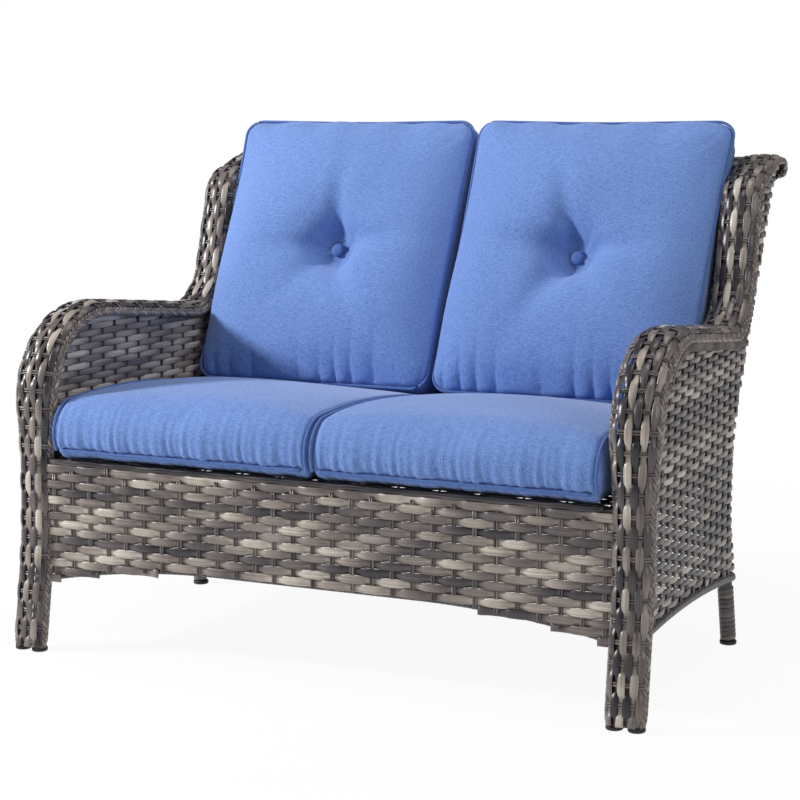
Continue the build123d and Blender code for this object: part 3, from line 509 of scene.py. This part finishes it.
# Apron. Thicker ridged strands, 15 mm apart, across the front between the legs; the lower
# edge is arched, and each row ends where the arch cuts it.
apron_half, apron_top = 0.5585, 0.357
apron_y = front_line + 0.010
facing = (0.0, -1.0, 0.0)
level_half, arch_top, arch_fall = 0.200, 0.168, 0.038
apron_x = np.linspace(-apron_half, apron_half, 121)


def arch_height(x):
    """Lower edge of the apron: level over the middle 400 mm, then a parabola to each leg."""
    fall = np.clip((np.abs(x) - level_half) / (apron_half - level_half), 0, 1)
    return arch_top - arch_fall * fall ** 2


apron_outline = np.concatenate([
    np.stack([apron_x, arch_height(apron_x) + 0.004], axis=1),
    np.array([(apron_half, apron_top), (-apron_half, apron_top)]),
])
strands = []
for k, height, low, high in level_rows(apron_outline, row_pitch=0.0149, start=0.1375):
    x = np.arange(low - 0.0075, high + 0.0075, 0.0060)
    wave = 0.0026 * under_and_over(x, stake_pitch, k)
    line = np.stack([x, apron_y - wave, np.full(len(x), height)], axis=1)
    strands.append(strand(line, np.tile(facing, (len(x), 1)), width=0.0156, thickness=0.0034,
                          tone=tones.uniform(0.3, 0.95), swing=0.35))
# One dark strand closes the top edge.
x = np.arange(-apron_half, apron_half, 0.02)
line = np.stack([x, np.full(len(x), apron_y + 0.001), np.full(len(x), 0.3576)], axis=1)
strands.append(strand(
    line, np.tile(facing, (len(x), 1)), width=0.0105, thickness=0.0034, tone=0.2))
for place in np.arange(-0.546, 0.55, stake_pitch):
    z = np.arange(arch_height(place) + 0.004, apron_top, 0.025)
    for gap in (-0.0023, 0.0023):
        line = np.stack([0 * z + place + gap, 0 * z + apron_y - 0.0004, z], axis=1)
        strands.append(strand(
            line, np.tile(facing, (len(z), 1)), width=0.0040, thickness=0.0032, tone=0.4))
weave_piece("apron_strands", strands, wicker, "frame", ["apron_weave"])


# Back. Strands run level from side to side up the leaning back and round the top rail,
# over and under pairs of wires that climb it.
lean_slope = 0.48
lean = math.atan2(lean_slope, 1)
roll_at, roll_radius, back_row = (0.8495, 0.888), 0.0193, 0.0117
back_top = roll_at[1] + roll_radius
back_corners = np.array([
    (0.523, 0.3633), (0.521 + (back_top - 0.363) * lean_slope, back_top), (roll_at[0], back_top),
])
back_line, _ = rounded(back_corners, (0.045,), back_row)
curl = np.arange(np.pi / 2, -np.pi / 2, -back_row / roll_radius)[1:, None]
back_line = np.concatenate([
    back_line,
    np.array(roll_at) + roll_radius * np.concatenate([np.cos(curl), np.sin(curl)], axis=1),
])
back_step = np.gradient(back_line, axis=0)
back_step /= np.linalg.norm(back_step, axis=1, keepdims=True)
back_in = np.stack([back_step[:, 1], -back_step[:, 0]], axis=1)
back_mid = back_line + 0.0025 * back_in
strands = []
for k, ((y, z), (n_y, n_z)) in enumerate(zip(back_mid, -back_in)):
    reach = side_at - 0.030 - y * math.sin(toe_in)
    x = np.arange(-reach, reach, 0.0078)
    wave = 0.0021 * np.cos(np.pi * x / stake_pitch + np.pi * k)
    normal = np.tile((0.0, n_y, n_z), (len(x), 1))
    line = np.stack([x, np.full(len(x), front_line + y), np.full(len(x), z)], axis=1)
    strands.append(strand(line + normal * wave[:, None], normal, width=0.0128, thickness=0.0026))
for place in np.arange(-0.507, 0.52, stake_pitch):
    for gap in (-0.0019, 0.0019):
        x = np.full(len(back_mid), place + gap)
        line = np.stack([x, front_line + back_mid[:, 0], back_mid[:, 1]], axis=1)
        normal = np.stack([0 * x, -back_in[:, 0], -back_in[:, 1]], axis=1)
        strands.append(strand(line, normal, width=0.0026, thickness=0.0024, tone=0.1))
weave_piece("back_strands", strands, wicker, "frame", ["back_weave"])


# Seat deck. Hidden under the seat cushions: strands from side to side over the seat frame.
deck_height = 0.3610
upward = (0.0, 0.0, 1.0)
strands = []
for k, y in enumerate(np.arange(0.0145, 0.518, 0.0155)):
    reach = side_at - 0.034 - y * math.sin(toe_in) - (0.010 if y < 0.033 else 0)
    x = np.arange(-reach, reach, 0.0098)
    wave = 0.0011 * np.cos(np.pi * x / stake_pitch + np.pi * k)
    line = np.stack([x, np.full(len(x), front_line + y), deck_height + wave], axis=1)
    strands.append(strand(line, np.tile(upward, (len(x), 1)), width=0.0158, thickness=0.0022))
for place in np.arange(-0.507, 0.52, stake_pitch):
    y = np.arange(0.014, 0.519, 0.04)
    line = np.stack([0 * y + place, front_line + y, 0 * y + deck_height], axis=1)
    strands.append(strand(
        line, np.tile(upward, (len(y), 1)), width=0.0030, thickness=0.0020, tone=0.1))
weave_piece("deck_strands", strands, wicker, "frame", ["seat_deck_weave"])


# Bindings. A single strand is wound tightly round the hem rails of the sides, the arched
# rail of the apron and the bare foot of each rear leg, and closes the edges of the weave.
def winding(line, normal, radius, pitch, width):
    """One strand wound round a line; the line is resampled so that each turn has 12 points."""
    run = np.r_[0, np.cumsum(np.linalg.norm(np.diff(line, axis=0), axis=1))]
    even = np.arange(0, run[-1], pitch / 12)
    centre = np.stack([np.interp(even, run, line[:, k]) for k in range(3)], axis=1)
    out = np.tile(normal, (len(centre), 1)).astype(float)
    return twist(centre, out, radius, pitch, count=1, width=width, thickness=0.0020, tone=0.35)


for sign, side in ((1, "right"), (-1, "left")):
    u = np.linspace(0.02, 0.545, 40)
    line = in_side(sign, u, 0.0240, np.interp(u, hem_u, hem_z) + 0.001)
    bound = winding(line, (0, 0, 1), radius=0.0094, pitch=0.0095, width=0.0100)
    weave_piece(f"{side}_hem_binding", bound, dark_wicker, "frame", [f"{side}_side_hem_wrap"])

x = np.linspace(-apron_half + 0.012, apron_half - 0.012, 80)
line = np.stack([x, np.full(len(x), front_line + 0.0233), arch_height(x) + 0.010], axis=1)
bound = winding(line, (0, -1, 0), radius=0.0094, pitch=0.0110, width=0.0115)
weave_piece("apron_binding", bound, dark_wicker, "frame", ["apron_wrap"])

strands = []
for sign in (1, -1):
    z = np.linspace(0.010, 0.116, 20)
    u = 0.582 - (0.582 - 0.514) * z / 0.258
    strands += winding(
        in_side(sign, u, 0.0133, z), (0, 1, 0), radius=0.0147, pitch=0.0098, width=0.0100)
weave_piece("rear_leg_binding", strands, wicker, "frame", ["rear_leg_wraps"])


# Steel frame, feet, bolts. Powder-coated tube in dark brown-grey, black plastic feet and
# zinc-plated bolts and nuts keep their CAD shapes.
def plain_finish(name, code, roughness, metallic, grain_mm, depth):
    """A plain finish with a fine speckle of bump at the grain size."""
    made, tree, shader = blank(name)
    spot = node(tree, "ShaderNodeTexCoord")
    place = spot.outputs["Object"]
    grain = node(tree, "ShaderNodeTexNoise", {
        "Vector": place, "Scale": 1000 / grain_mm, "Detail": 2.0})
    dust = node(tree, "ShaderNodeTexNoise", {"Vector": place, "Scale": 14.0, "Detail": 4.0})
    tint = node(tree, "ShaderNodeMapRange", {
        "Value": dust.outputs["Fac"], "To Min": 0.82, "To Max": 1.15})
    base = node(tree, "ShaderNodeMix", {0: 1.0, 6: shade(code), 7: tint.outputs[0]},
                data_type="RGBA", blend_type="MULTIPLY")
    tree.links.new(base.outputs[2], shader.inputs["Base Color"])
    bump = node(tree, "ShaderNodeBump", {
        "Height": grain.outputs["Fac"], "Strength": 0.3, "Distance": depth})
    tree.links.new(bump.outputs[0], shader.inputs["Normal"])
    shader.inputs["Roughness"].default_value = roughness
    shader.inputs["Metallic"].default_value = metallic
    return made


finishes = {
    "frame_steel": plain_finish("powder_coated_steel", "3b3634", 0.45, 0.0, 1.2, 0.0001),
    "foot_plastic": plain_finish("moulded_polypropylene_black", "1d1c1c", 0.55, 0.0, 0.8, 0.0001),
    "bolt_steel": plain_finish("zinc_plated_steel", "b7b6b0", 0.35, 1.0, 0.6, 0.00005),
    "zip_metal": plain_finish("plated_zip_metal", "a6a49c", 0.30, 1.0, 0.6, 0.00005),
    "zip_tape": plain_finish("nylon_coil_blue", "3f5f9c", 0.60, 0.0, 1.0, 0.0002),
    "tuft_thread": plain_finish("polyester_thread_blue", "3f5f9c", 0.80, 0.0, 0.8, 0.0001),
}
for entry in frame["record"]["subparts"]:
    if entry["material_slot"] in finishes:
        for material_slot in nodes[entry["node"]].material_slots:
            material_slot.material = finishes[entry["material_slot"]]


# Cushion cloth. A plain-weave outdoor cloth in mid blue, spun yarns of two close blues,
# matt with a soft sheen at grazing angles.
def cloth_finish(name, lit, deep):
    """Woven cloth: noise stretched along each axis in turn is added up, and the sum picks a
    yarn colour between deep and lit and lifts the surface."""
    made, tree, shader = blank(name)
    spot = node(tree, "ShaderNodeTexCoord")
    # Yarns are 0.6 mm in the real cloth; the slubs drawn here are 1.1 mm thick so that they show.
    yarns = []
    for stretch in ((90, 900, 900), (900, 900, 90), (900, 90, 900)):
        way = node(tree, "ShaderNodeMapping", {"Vector": spot.outputs["Object"], "Scale": stretch})
        yarn = node(tree, "ShaderNodeTexNoise", {
            "Vector": way.outputs[0], "Scale": 1.0, "Detail": 2.0})
        yarns.append(yarn.outputs["Fac"])
    pair = node(tree, "ShaderNodeMath", {0: yarns[0], 1: yarns[1]}, operation="ADD")
    sum3 = node(tree, "ShaderNodeMath", {0: pair.outputs[0], 1: yarns[2]}, operation="ADD")
    heather = node(tree, "ShaderNodeMapRange", {
        "Value": sum3.outputs[0], "From Min": 1.10, "From Max": 1.90})
    fade = node(tree, "ShaderNodeTexNoise", {
        "Vector": spot.outputs["Object"], "Scale": 5.0, "Detail": 3.0})
    fade_by = node(tree, "ShaderNodeMapRange", {
        "Value": fade.outputs["Fac"], "To Min": 0.93, "To Max": 1.06})
    blend = node(tree, "ShaderNodeMix", {0: heather.outputs[0], 6: shade(deep), 7: shade(lit)},
                 data_type="RGBA")
    base = node(tree, "ShaderNodeMix", {0: 1.0, 6: blend.outputs[2], 7: fade_by.outputs[0]},
                data_type="RGBA", blend_type="MULTIPLY")
    tree.links.new(base.outputs[2], shader.inputs["Base Color"])
    bump = node(tree, "ShaderNodeBump", {
        "Height": sum3.outputs[0], "Strength": 0.35, "Distance": 0.0005})
    tree.links.new(bump.outputs[0], shader.inputs["Normal"])
    shader.inputs["Roughness"].default_value = 0.9
    shader.inputs["Specular IOR Level"].default_value = 0.25
    shader.inputs["Sheen Weight"].default_value = 0.25
    shader.inputs["Sheen Roughness"].default_value = 0.4
    return made


cloth = cloth_finish("plain_weave_cloth_blue", "83a2dd", "486aad")
trim_cloth = cloth_finish("piping_cloth_blue", "5f80c2", "38558f")


# Cushions. Each starts as its foam block, is blown up a little inside its cover by a short
# cloth simulation that holds the seams, and then gets its puckers.
def plumped(source, name, pins, cap, pressure):
    """The foam block remeshed at 6 mm and swelled by cloth pressure; points near a seam stay."""
    held_within, last_frame = 0.007, 20
    mesh = nodes[source].data.copy()
    piece = bpy.data.objects.new(name, mesh)
    bpy.context.scene.collection.objects.link(piece)
    weld = piece.modifiers.new("weld", "WELD")
    weld.merge_threshold = 0.00002
    voxel = piece.modifiers.new("voxel", "REMESH")
    voxel.mode = "VOXEL"
    voxel.voxel_size = 0.006
    relax = piece.modifiers.new("relax", "SMOOTH")
    relax.iterations = 4
    graph = bpy.context.evaluated_depsgraph_get()
    block = bpy.data.meshes.new_from_object(piece.evaluated_get(graph))
    piece.modifiers.clear()
    piece.data = block
    start = np.zeros(len(block.vertices) * 3)
    block.vertices.foreach_get("co", start)
    start = start.reshape(-1, 3)
    end = start
    group = piece.vertex_groups.new(name="seam")
    held = np.flatnonzero(pins(start) < held_within)
    group.add(held.tolist(), 1.0, "REPLACE")
    sim = piece.modifiers.new("cloth", "CLOTH")
    sim.settings.quality = 5
    sim.settings.use_pressure = True
    sim.settings.uniform_pressure_force = pressure
    sim.settings.vertex_group_mass = "seam"
    sim.settings.effector_weights.gravity = 0
    sim.point_cache.frame_start = 1
    sim.point_cache.frame_end = last_frame
    for step in range(1, last_frame + 1):
        bpy.context.scene.frame_set(step)
    graph = bpy.context.evaluated_depsgraph_get()
    blown = bpy.data.meshes.new_from_object(piece.evaluated_get(graph))
    end = np.zeros(len(blown.vertices) * 3)
    blown.vertices.foreach_get("co", end)
    end = end.reshape(-1, 3)
    piece.modifiers.clear()
    bpy.context.scene.frame_set(1)
    move = end - start
    size = np.linalg.norm(move, axis=1, keepdims=True)
    move *= np.minimum(1, cap / np.maximum(size, 1e-9))
    block.vertices.foreach_set("co", (start + move).ravel())
    smooth = piece.modifiers.new("smooth", "SMOOTH")
    smooth.iterations = 3
    finer = piece.modifiers.new("finer", "SUBSURF")
    finer.levels = finer.render_levels = 1
    graph = bpy.context.evaluated_depsgraph_get()
    fine = bpy.data.meshes.new_from_object(piece.evaluated_get(graph))
    piece.modifiers.clear()
    piece.data = fine
    fine.materials.clear()
    fine.materials.append(cloth)
    fine.shade_smooth()
    return piece


def displaced(piece, shift):
    """Moves each point by the vector that a function of its place and normal gives."""
    mesh = piece.data
    count = len(mesh.vertices)
    spots, normals = np.zeros(count * 3), np.zeros(count * 3)
    mesh.vertices.foreach_get("co", spots)
    mesh.vertex_normals.foreach_get("vector", normals)
    spots, normals = spots.reshape(-1, 3), normals.reshape(-1, 3)
    spots = spots + shift(spots, normals)
    mesh.vertices.foreach_set("co", spots.ravel())
    mesh.update()


def arc_through(first, middle, last, count):
    """Points of the circle through three points of a plane, from the first to the last."""
    (x1, y1), (x2, y2), (x3, y3) = first, middle, last
    d = 2 * (x1 * (y2 - y3) + x2 * (y3 - y1) + x3 * (y1 - y2))
    a, b, c = x1 ** 2 + y1 ** 2, x2 ** 2 + y2 ** 2, x3 ** 2 + y3 ** 2
    centre = np.array([(a * (y2 - y3) + b * (y3 - y1) + c * (y1 - y2)) / d,
                       (a * (x3 - x2) + b * (x1 - x3) + c * (x2 - x1)) / d])
    start, end = np.subtract(first, centre), np.subtract(last, centre)
    mid = np.subtract(middle, centre)
    total = np.arctan2(start[0] * end[1] - start[1] * end[0], start @ end)
    part = np.arctan2(start[0] * mid[1] - start[1] * mid[0], start @ mid)
    if part * total < 0 or abs(part) > abs(total):
        total -= np.sign(total) * 2 * np.pi
    angle = np.linspace(0, total, count)[:, None]
    return centre + np.cos(angle) * start + np.sin(angle) * np.array([-start[1], start[0]])


def cord_piece(name, lines, radius, body, replaced):
    """Piping: round cloth-covered cord along closed or open lines, as one mesh with UV."""
    strands = []
    for line in lines:
        step = np.gradient(line, axis=0)
        step /= np.linalg.norm(step, axis=1, keepdims=True) + 1e-12
        helper = np.where(np.abs(step[:, :1]) > 0.9, (0.0, 0.0, 1.0), (1.0, 0.0, 0.0))
        normal = np.cross(step, helper)
        normal /= np.linalg.norm(normal, axis=1, keepdims=True)
        strands.append(strand(line, normal, width=2 * radius, thickness=2 * radius))
    piece = weave_piece(name, strands, trim_cloth, body, replaced)
    return piece


# Seat cushions: 537 mm wide and 510 mm deep, rolled over the front down to a piped seam
# above a narrow under-boxing, with piping up and over both sides.
seat_base = 0.3633
seat_half = 0.5370 / 2
seat_middle = 0.0015 + seat_half
side_line = np.concatenate([
    arc_through((3.5, 20), (-3.5, 54), (41.5, 108.5), 24),
    arc_through((41.5, 108.5), (250, 113.5), (455, 91.5), 60)[1:],
    arc_through((455, 91.5), (488, 78), (510, 60), 12)[1:],
    np.array([(510, 50), (510, 35), (510, 20), (510, 3)]),
]) / 1000


def seat_seams(sign):
    """The seam lines of a seat cushion: both side loops and the lower front edge."""
    lines = []
    for side in (-1, 1):
        x = np.full(len(side_line), sign * (seat_middle + side * (seat_half - 0.0045)))
        lines.append(np.stack(
            [x, front_line + side_line[:, 0], seat_base + side_line[:, 1]], axis=1))
    x = sign * (seat_middle + np.linspace(-1, 1, 60) * (seat_half - 0.015))
    lines.append(np.stack([x, 0 * x + front_line + 0.0005, 0 * x + seat_base + 0.020], axis=1))
    return lines


def near(lines, spots):
    """Distance from each spot to the nearest point of some lines."""
    points = np.concatenate(lines)
    best = np.full(len(spots), 9.0)
    for start in range(0, len(points), 40):
        gap = spots[:, None] - points[None, start:start + 40]
        best = np.minimum(best, np.sqrt((gap ** 2).sum(-1)).min(1))
    return best


ripples = np.random.default_rng(5)
for sign, side in ((1, "right"), (-1, "left")):
    lines = seat_seams(sign)
    piece = plumped(
        f"{side}_seat_core", f"{side}_seat_cushion_cover",
        lambda spots: near(lines, spots), cap=0.007, pressure=3.0)
    phase = ripples.uniform(0, 6, 6)

    def puckers(spots, normals):
        """Fine upright puckers above the front seam, and slow unevenness of the foam."""
        x, y, z = (spots - (0, front_line, seat_base)).T
        front = np.exp(-np.maximum(y - 0.02, 0) / 0.035) * np.exp(-np.abs(z - 0.032) / 0.044)
        fine = np.sin(x * 270 + phase[0] + 2 * np.sin(x * 47 + phase[1]))
        fine *= np.sin(x * 83 + phase[2])
        slow = np.sin(x * 13 + phase[3]) * np.sin(y * 11 + phase[4]) * 0.0026
        top = np.clip(normals[:, 2], 0, 1) ** 2
        broad = np.sin(x * 60 + phase[5] + np.sin(x * 19)) * 0.0016 * front
        groove = 0.0052 * np.exp(-(near(lines, spots) / 0.007) ** 2)
        tuck = 0.008 * np.clip(1 - z / 0.019, 0, 1) * np.clip(1 - y / 0.05, 0, 1)
        along = 0.0023 * front * fine + broad + slow * top + 0.0030 - groove
        return normals * along[:, None] + np.stack([0 * x, tuck, 0 * x], axis=1)

    displaced(piece, puckers)
    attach(piece, f"{side}_seat_cushion")
    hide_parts(f"{side}_seat_cover", f"{side}_seat_core")
    cord_piece(f"{side}_seat_cushion_piping", lines, 0.0030,
               f"{side}_seat_cushion", [f"{side}_seat_piping"])


# Back cushions: boxed, 75 mm at the seams, crowned in front, with one covered button that
# pulls a deep tuft. Folds run out from the tuft, and the lower edge puckers where it sits.
back_width, back_length, boxing = 0.507, 0.573, 0.075
back_middle = 0.0015 + back_width / 2 + 0.0061
foot_height = 0.462
back_at = 0.521 + (foot_height - 0.3633) * lean_slope - (boxing + 0.0003) / math.cos(lean)
out_y, out_z = -math.cos(lean), math.sin(lean)
up_y, up_z = math.sin(lean), math.cos(lean)


def on_back(sign, x, v, level):
    """Points of a back cushion: x across, v up its front seam plane, level forward of it."""
    return np.stack(np.broadcast_arrays(
        sign * (back_middle + x), front_line + back_at + v * up_y + level * out_y,
        foot_height + v * up_z + level * out_z), axis=-1)


def back_outline():
    """Seam outline: full rounded corners, sides drawn in 5 mm between them."""
    half, low, high = back_width / 2 - 0.0012, 0.0012, back_length - 0.0012
    corners = np.array([
        (0, low), (half, low), (half - 0.005, back_length / 2), (half, high), (0, high - 0.005),
        (-half, high), (-half + 0.005, back_length / 2), (-half, low), (0, low),
    ])
    line, _ = rounded(corners, (0.032, 4.0, 0.032, 4.0, 0.032, 4.0, 0.032), 0.006)
    return line


def spread(x, v, level):
    """How far a back cushion bulges sideways: most at the front seam and up high."""
    most = 0.009 + 0.013 * np.clip(v / back_length, 0, 1) ** 2
    outward = np.clip(x / (back_width / 2), 0, 1) ** 2 * most
    inward = np.clip(-x / (back_width / 2), 0, 1) ** 2 * 0.0025
    return (outward - inward) * np.clip(1 + level / boxing, 0, 1)


outline = back_outline()
seam_levels = (0, -boxing + 0.0026)
button_level = -0.004
for sign, side in ((1, "right"), (-1, "left")):
    lines = [on_back(sign, outline[:, 0], outline[:, 1], level) for level in seam_levels]
    cords = [on_back(sign, outline[:, 0] + spread(*outline.T, level), outline[:, 1], level)
             for level in seam_levels]
    button_spot = on_back(sign, np.zeros(1), np.full(1, back_length / 2), button_level)
    pins = lines + [button_spot]
    piece = plumped(
        f"{side}_back_core", f"{side}_back_cushion_cover",
        lambda spots: near(pins, spots) - 0.004, cap=0.009, pressure=3.5)
    phase = ripples.uniform(0, 6, 8)
    # Bearing, depth, reach and half-width of the creases that run out from the button.
    creases = (
        (1.72 + 0.1 * sign, 0.0200, 0.110, 0.021), (3.05, 0.0145, 0.130, 0.028),
        (0.10 * sign, 0.0110, 0.125, 0.024), (4.20, 0.0165, 0.130, 0.030),
        (5.35, 0.0080, 0.115, 0.026),
    )

    def folds(spots, normals):
        """Folds that run out from the tuft, puckers along the lower seam, slow unevenness."""
        rest = spots - (sign * back_middle, front_line + back_at, foot_height)
        x = sign * rest[:, 0]
        v = rest[:, 1] * up_y + rest[:, 2] * up_z
        level = rest[:, 1] * out_y + rest[:, 2] * out_z
        r = np.hypot(x, v - back_length / 2)
        turn = np.arctan2(v - back_length / 2, x)
        face = np.clip(normals[:, 1] * out_y + normals[:, 2] * out_z, 0, 1)
        spokes = np.cos(7 * turn + phase[0]) + 0.6 * np.cos(12 * turn + phase[1])
        fold = 0.0012 * spokes * np.exp(-((r - 0.040) / 0.022) ** 2)
        for bearing, depth, reach, breadth in creases:
            off = np.arctan2(np.sin(turn - bearing), np.cos(turn - bearing)) * r
            ahead = np.cos(turn - bearing) > 0
            length = np.exp(-(r / reach) ** 2) * (1 - np.exp(-(r / 0.026) ** 2))
            fold -= ahead * depth * np.exp(-(off / breadth) ** 2) * length
        dent = -0.009 * np.exp(-(r / 0.085) ** 2) * np.clip(r / 0.020 - 0.6, 0, 1)
        valley = np.abs(np.sin(x * 58 + phase[3] + 1.6 * np.sin(x * 23 + phase[6]))) ** 0.7 - 0.65
        rise = 0.034 + 0.014 * np.sin(x * 31 + phase[7])
        in_front = level > -0.02
        fade = np.exp(-np.maximum(v - 0.012, 0) / rise) * np.clip(v / 0.012, 0, 1)
        low = 0.0085 * valley * fade * in_front
        high = 0.0030 * np.exp(-np.abs(v - back_length + 0.012) / 0.035) * in_front
        high *= np.sin(x * 62 + phase[5])
        slow = 0.0050 * np.sin(x * 15 + phase[4]) * np.sin(v * 12 + phase[5])
        arched = np.clip(np.cos(np.pi * x / (back_width + 0.03)), 0, 1)
        arched *= np.clip(np.sin(np.pi * v / back_length), 0, 1)
        bulge = 0.026 * arched ** 0.7 * (1 - np.exp(-(r / 0.055) ** 2)) * in_front
        groove = 0.0026 * np.exp(-(near(lines, spots) / 0.007) ** 2)
        along = (fold + dent + low + high + slow + bulge) * face + 0.0030 - groove
        wide = np.stack([sign * spread(x, v, level), 0 * x, 0 * x], axis=1)
        return normals * along[:, None] + wide

    displaced(piece, folds)
    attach(piece, f"{side}_back_cushion")
    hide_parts(f"{side}_back_cover", f"{side}_back_core")
    cord_piece(f"{side}_back_cushion_piping", cords, 0.0031,
               f"{side}_back_cushion", [f"{side}_back_piping"])

    # Covered buttons, domed, in the tuft and at the rear: a base, rings up the dome, a tip.
    turn = np.linspace(0, 2 * np.pi, 28, endpoint=False)
    rise = np.linspace(0, np.pi / 2, 8)[:-1]
    tip_lift = 0.0086
    radii = np.r_[0.0135, 0.0140 * np.cos(rise) ** 0.8]
    lifts = np.r_[-0.001, 0.002 + 0.0065 * np.sin(rise)]
    ring_count, n = len(radii), len(turn)
    points, faces = [], []
    for level, way in ((button_level, 1), (-boxing + 0.0096, -1)):
        first = sum(map(len, points))
        points.append(on_back(
            sign, np.outer(radii, np.cos(turn)), back_length / 2 + np.outer(radii, np.sin(turn)),
            level + way * lifts[:, None]).reshape(-1, 3))
        points.append(on_back(sign, np.zeros(1), back_length / 2, level + way * tip_lift))
        index = first + np.arange(ring_count * n).reshape(ring_count, n)
        turned = np.roll(index, -1, axis=1)
        sides = np.stack([index[:-1], turned[:-1], turned[1:], index[1:]], axis=-1).reshape(-1, 4)
        tip = np.full(n, first + ring_count * n)
        dome = np.stack([index[-1], turned[-1], tip], axis=1)
        flip = 1 if way * sign > 0 else -1
        faces += [face[::flip] for face in sides.tolist() + dome.tolist()]
        faces.append(index[0].tolist()[::-flip])
    mesh = bpy.data.meshes.new(f"{side}_covered_buttons")
    mesh.from_pydata(np.concatenate(points), [], faces)
    mesh.shade_smooth()
    mesh.materials.append(trim_cloth)
    button = bpy.data.objects.new(f"{side}_covered_buttons", mesh)
    bpy.context.scene.collection.objects.link(button)
    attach(button, f"{side}_back_cushion")
    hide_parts(f"{side}_back_buttons")
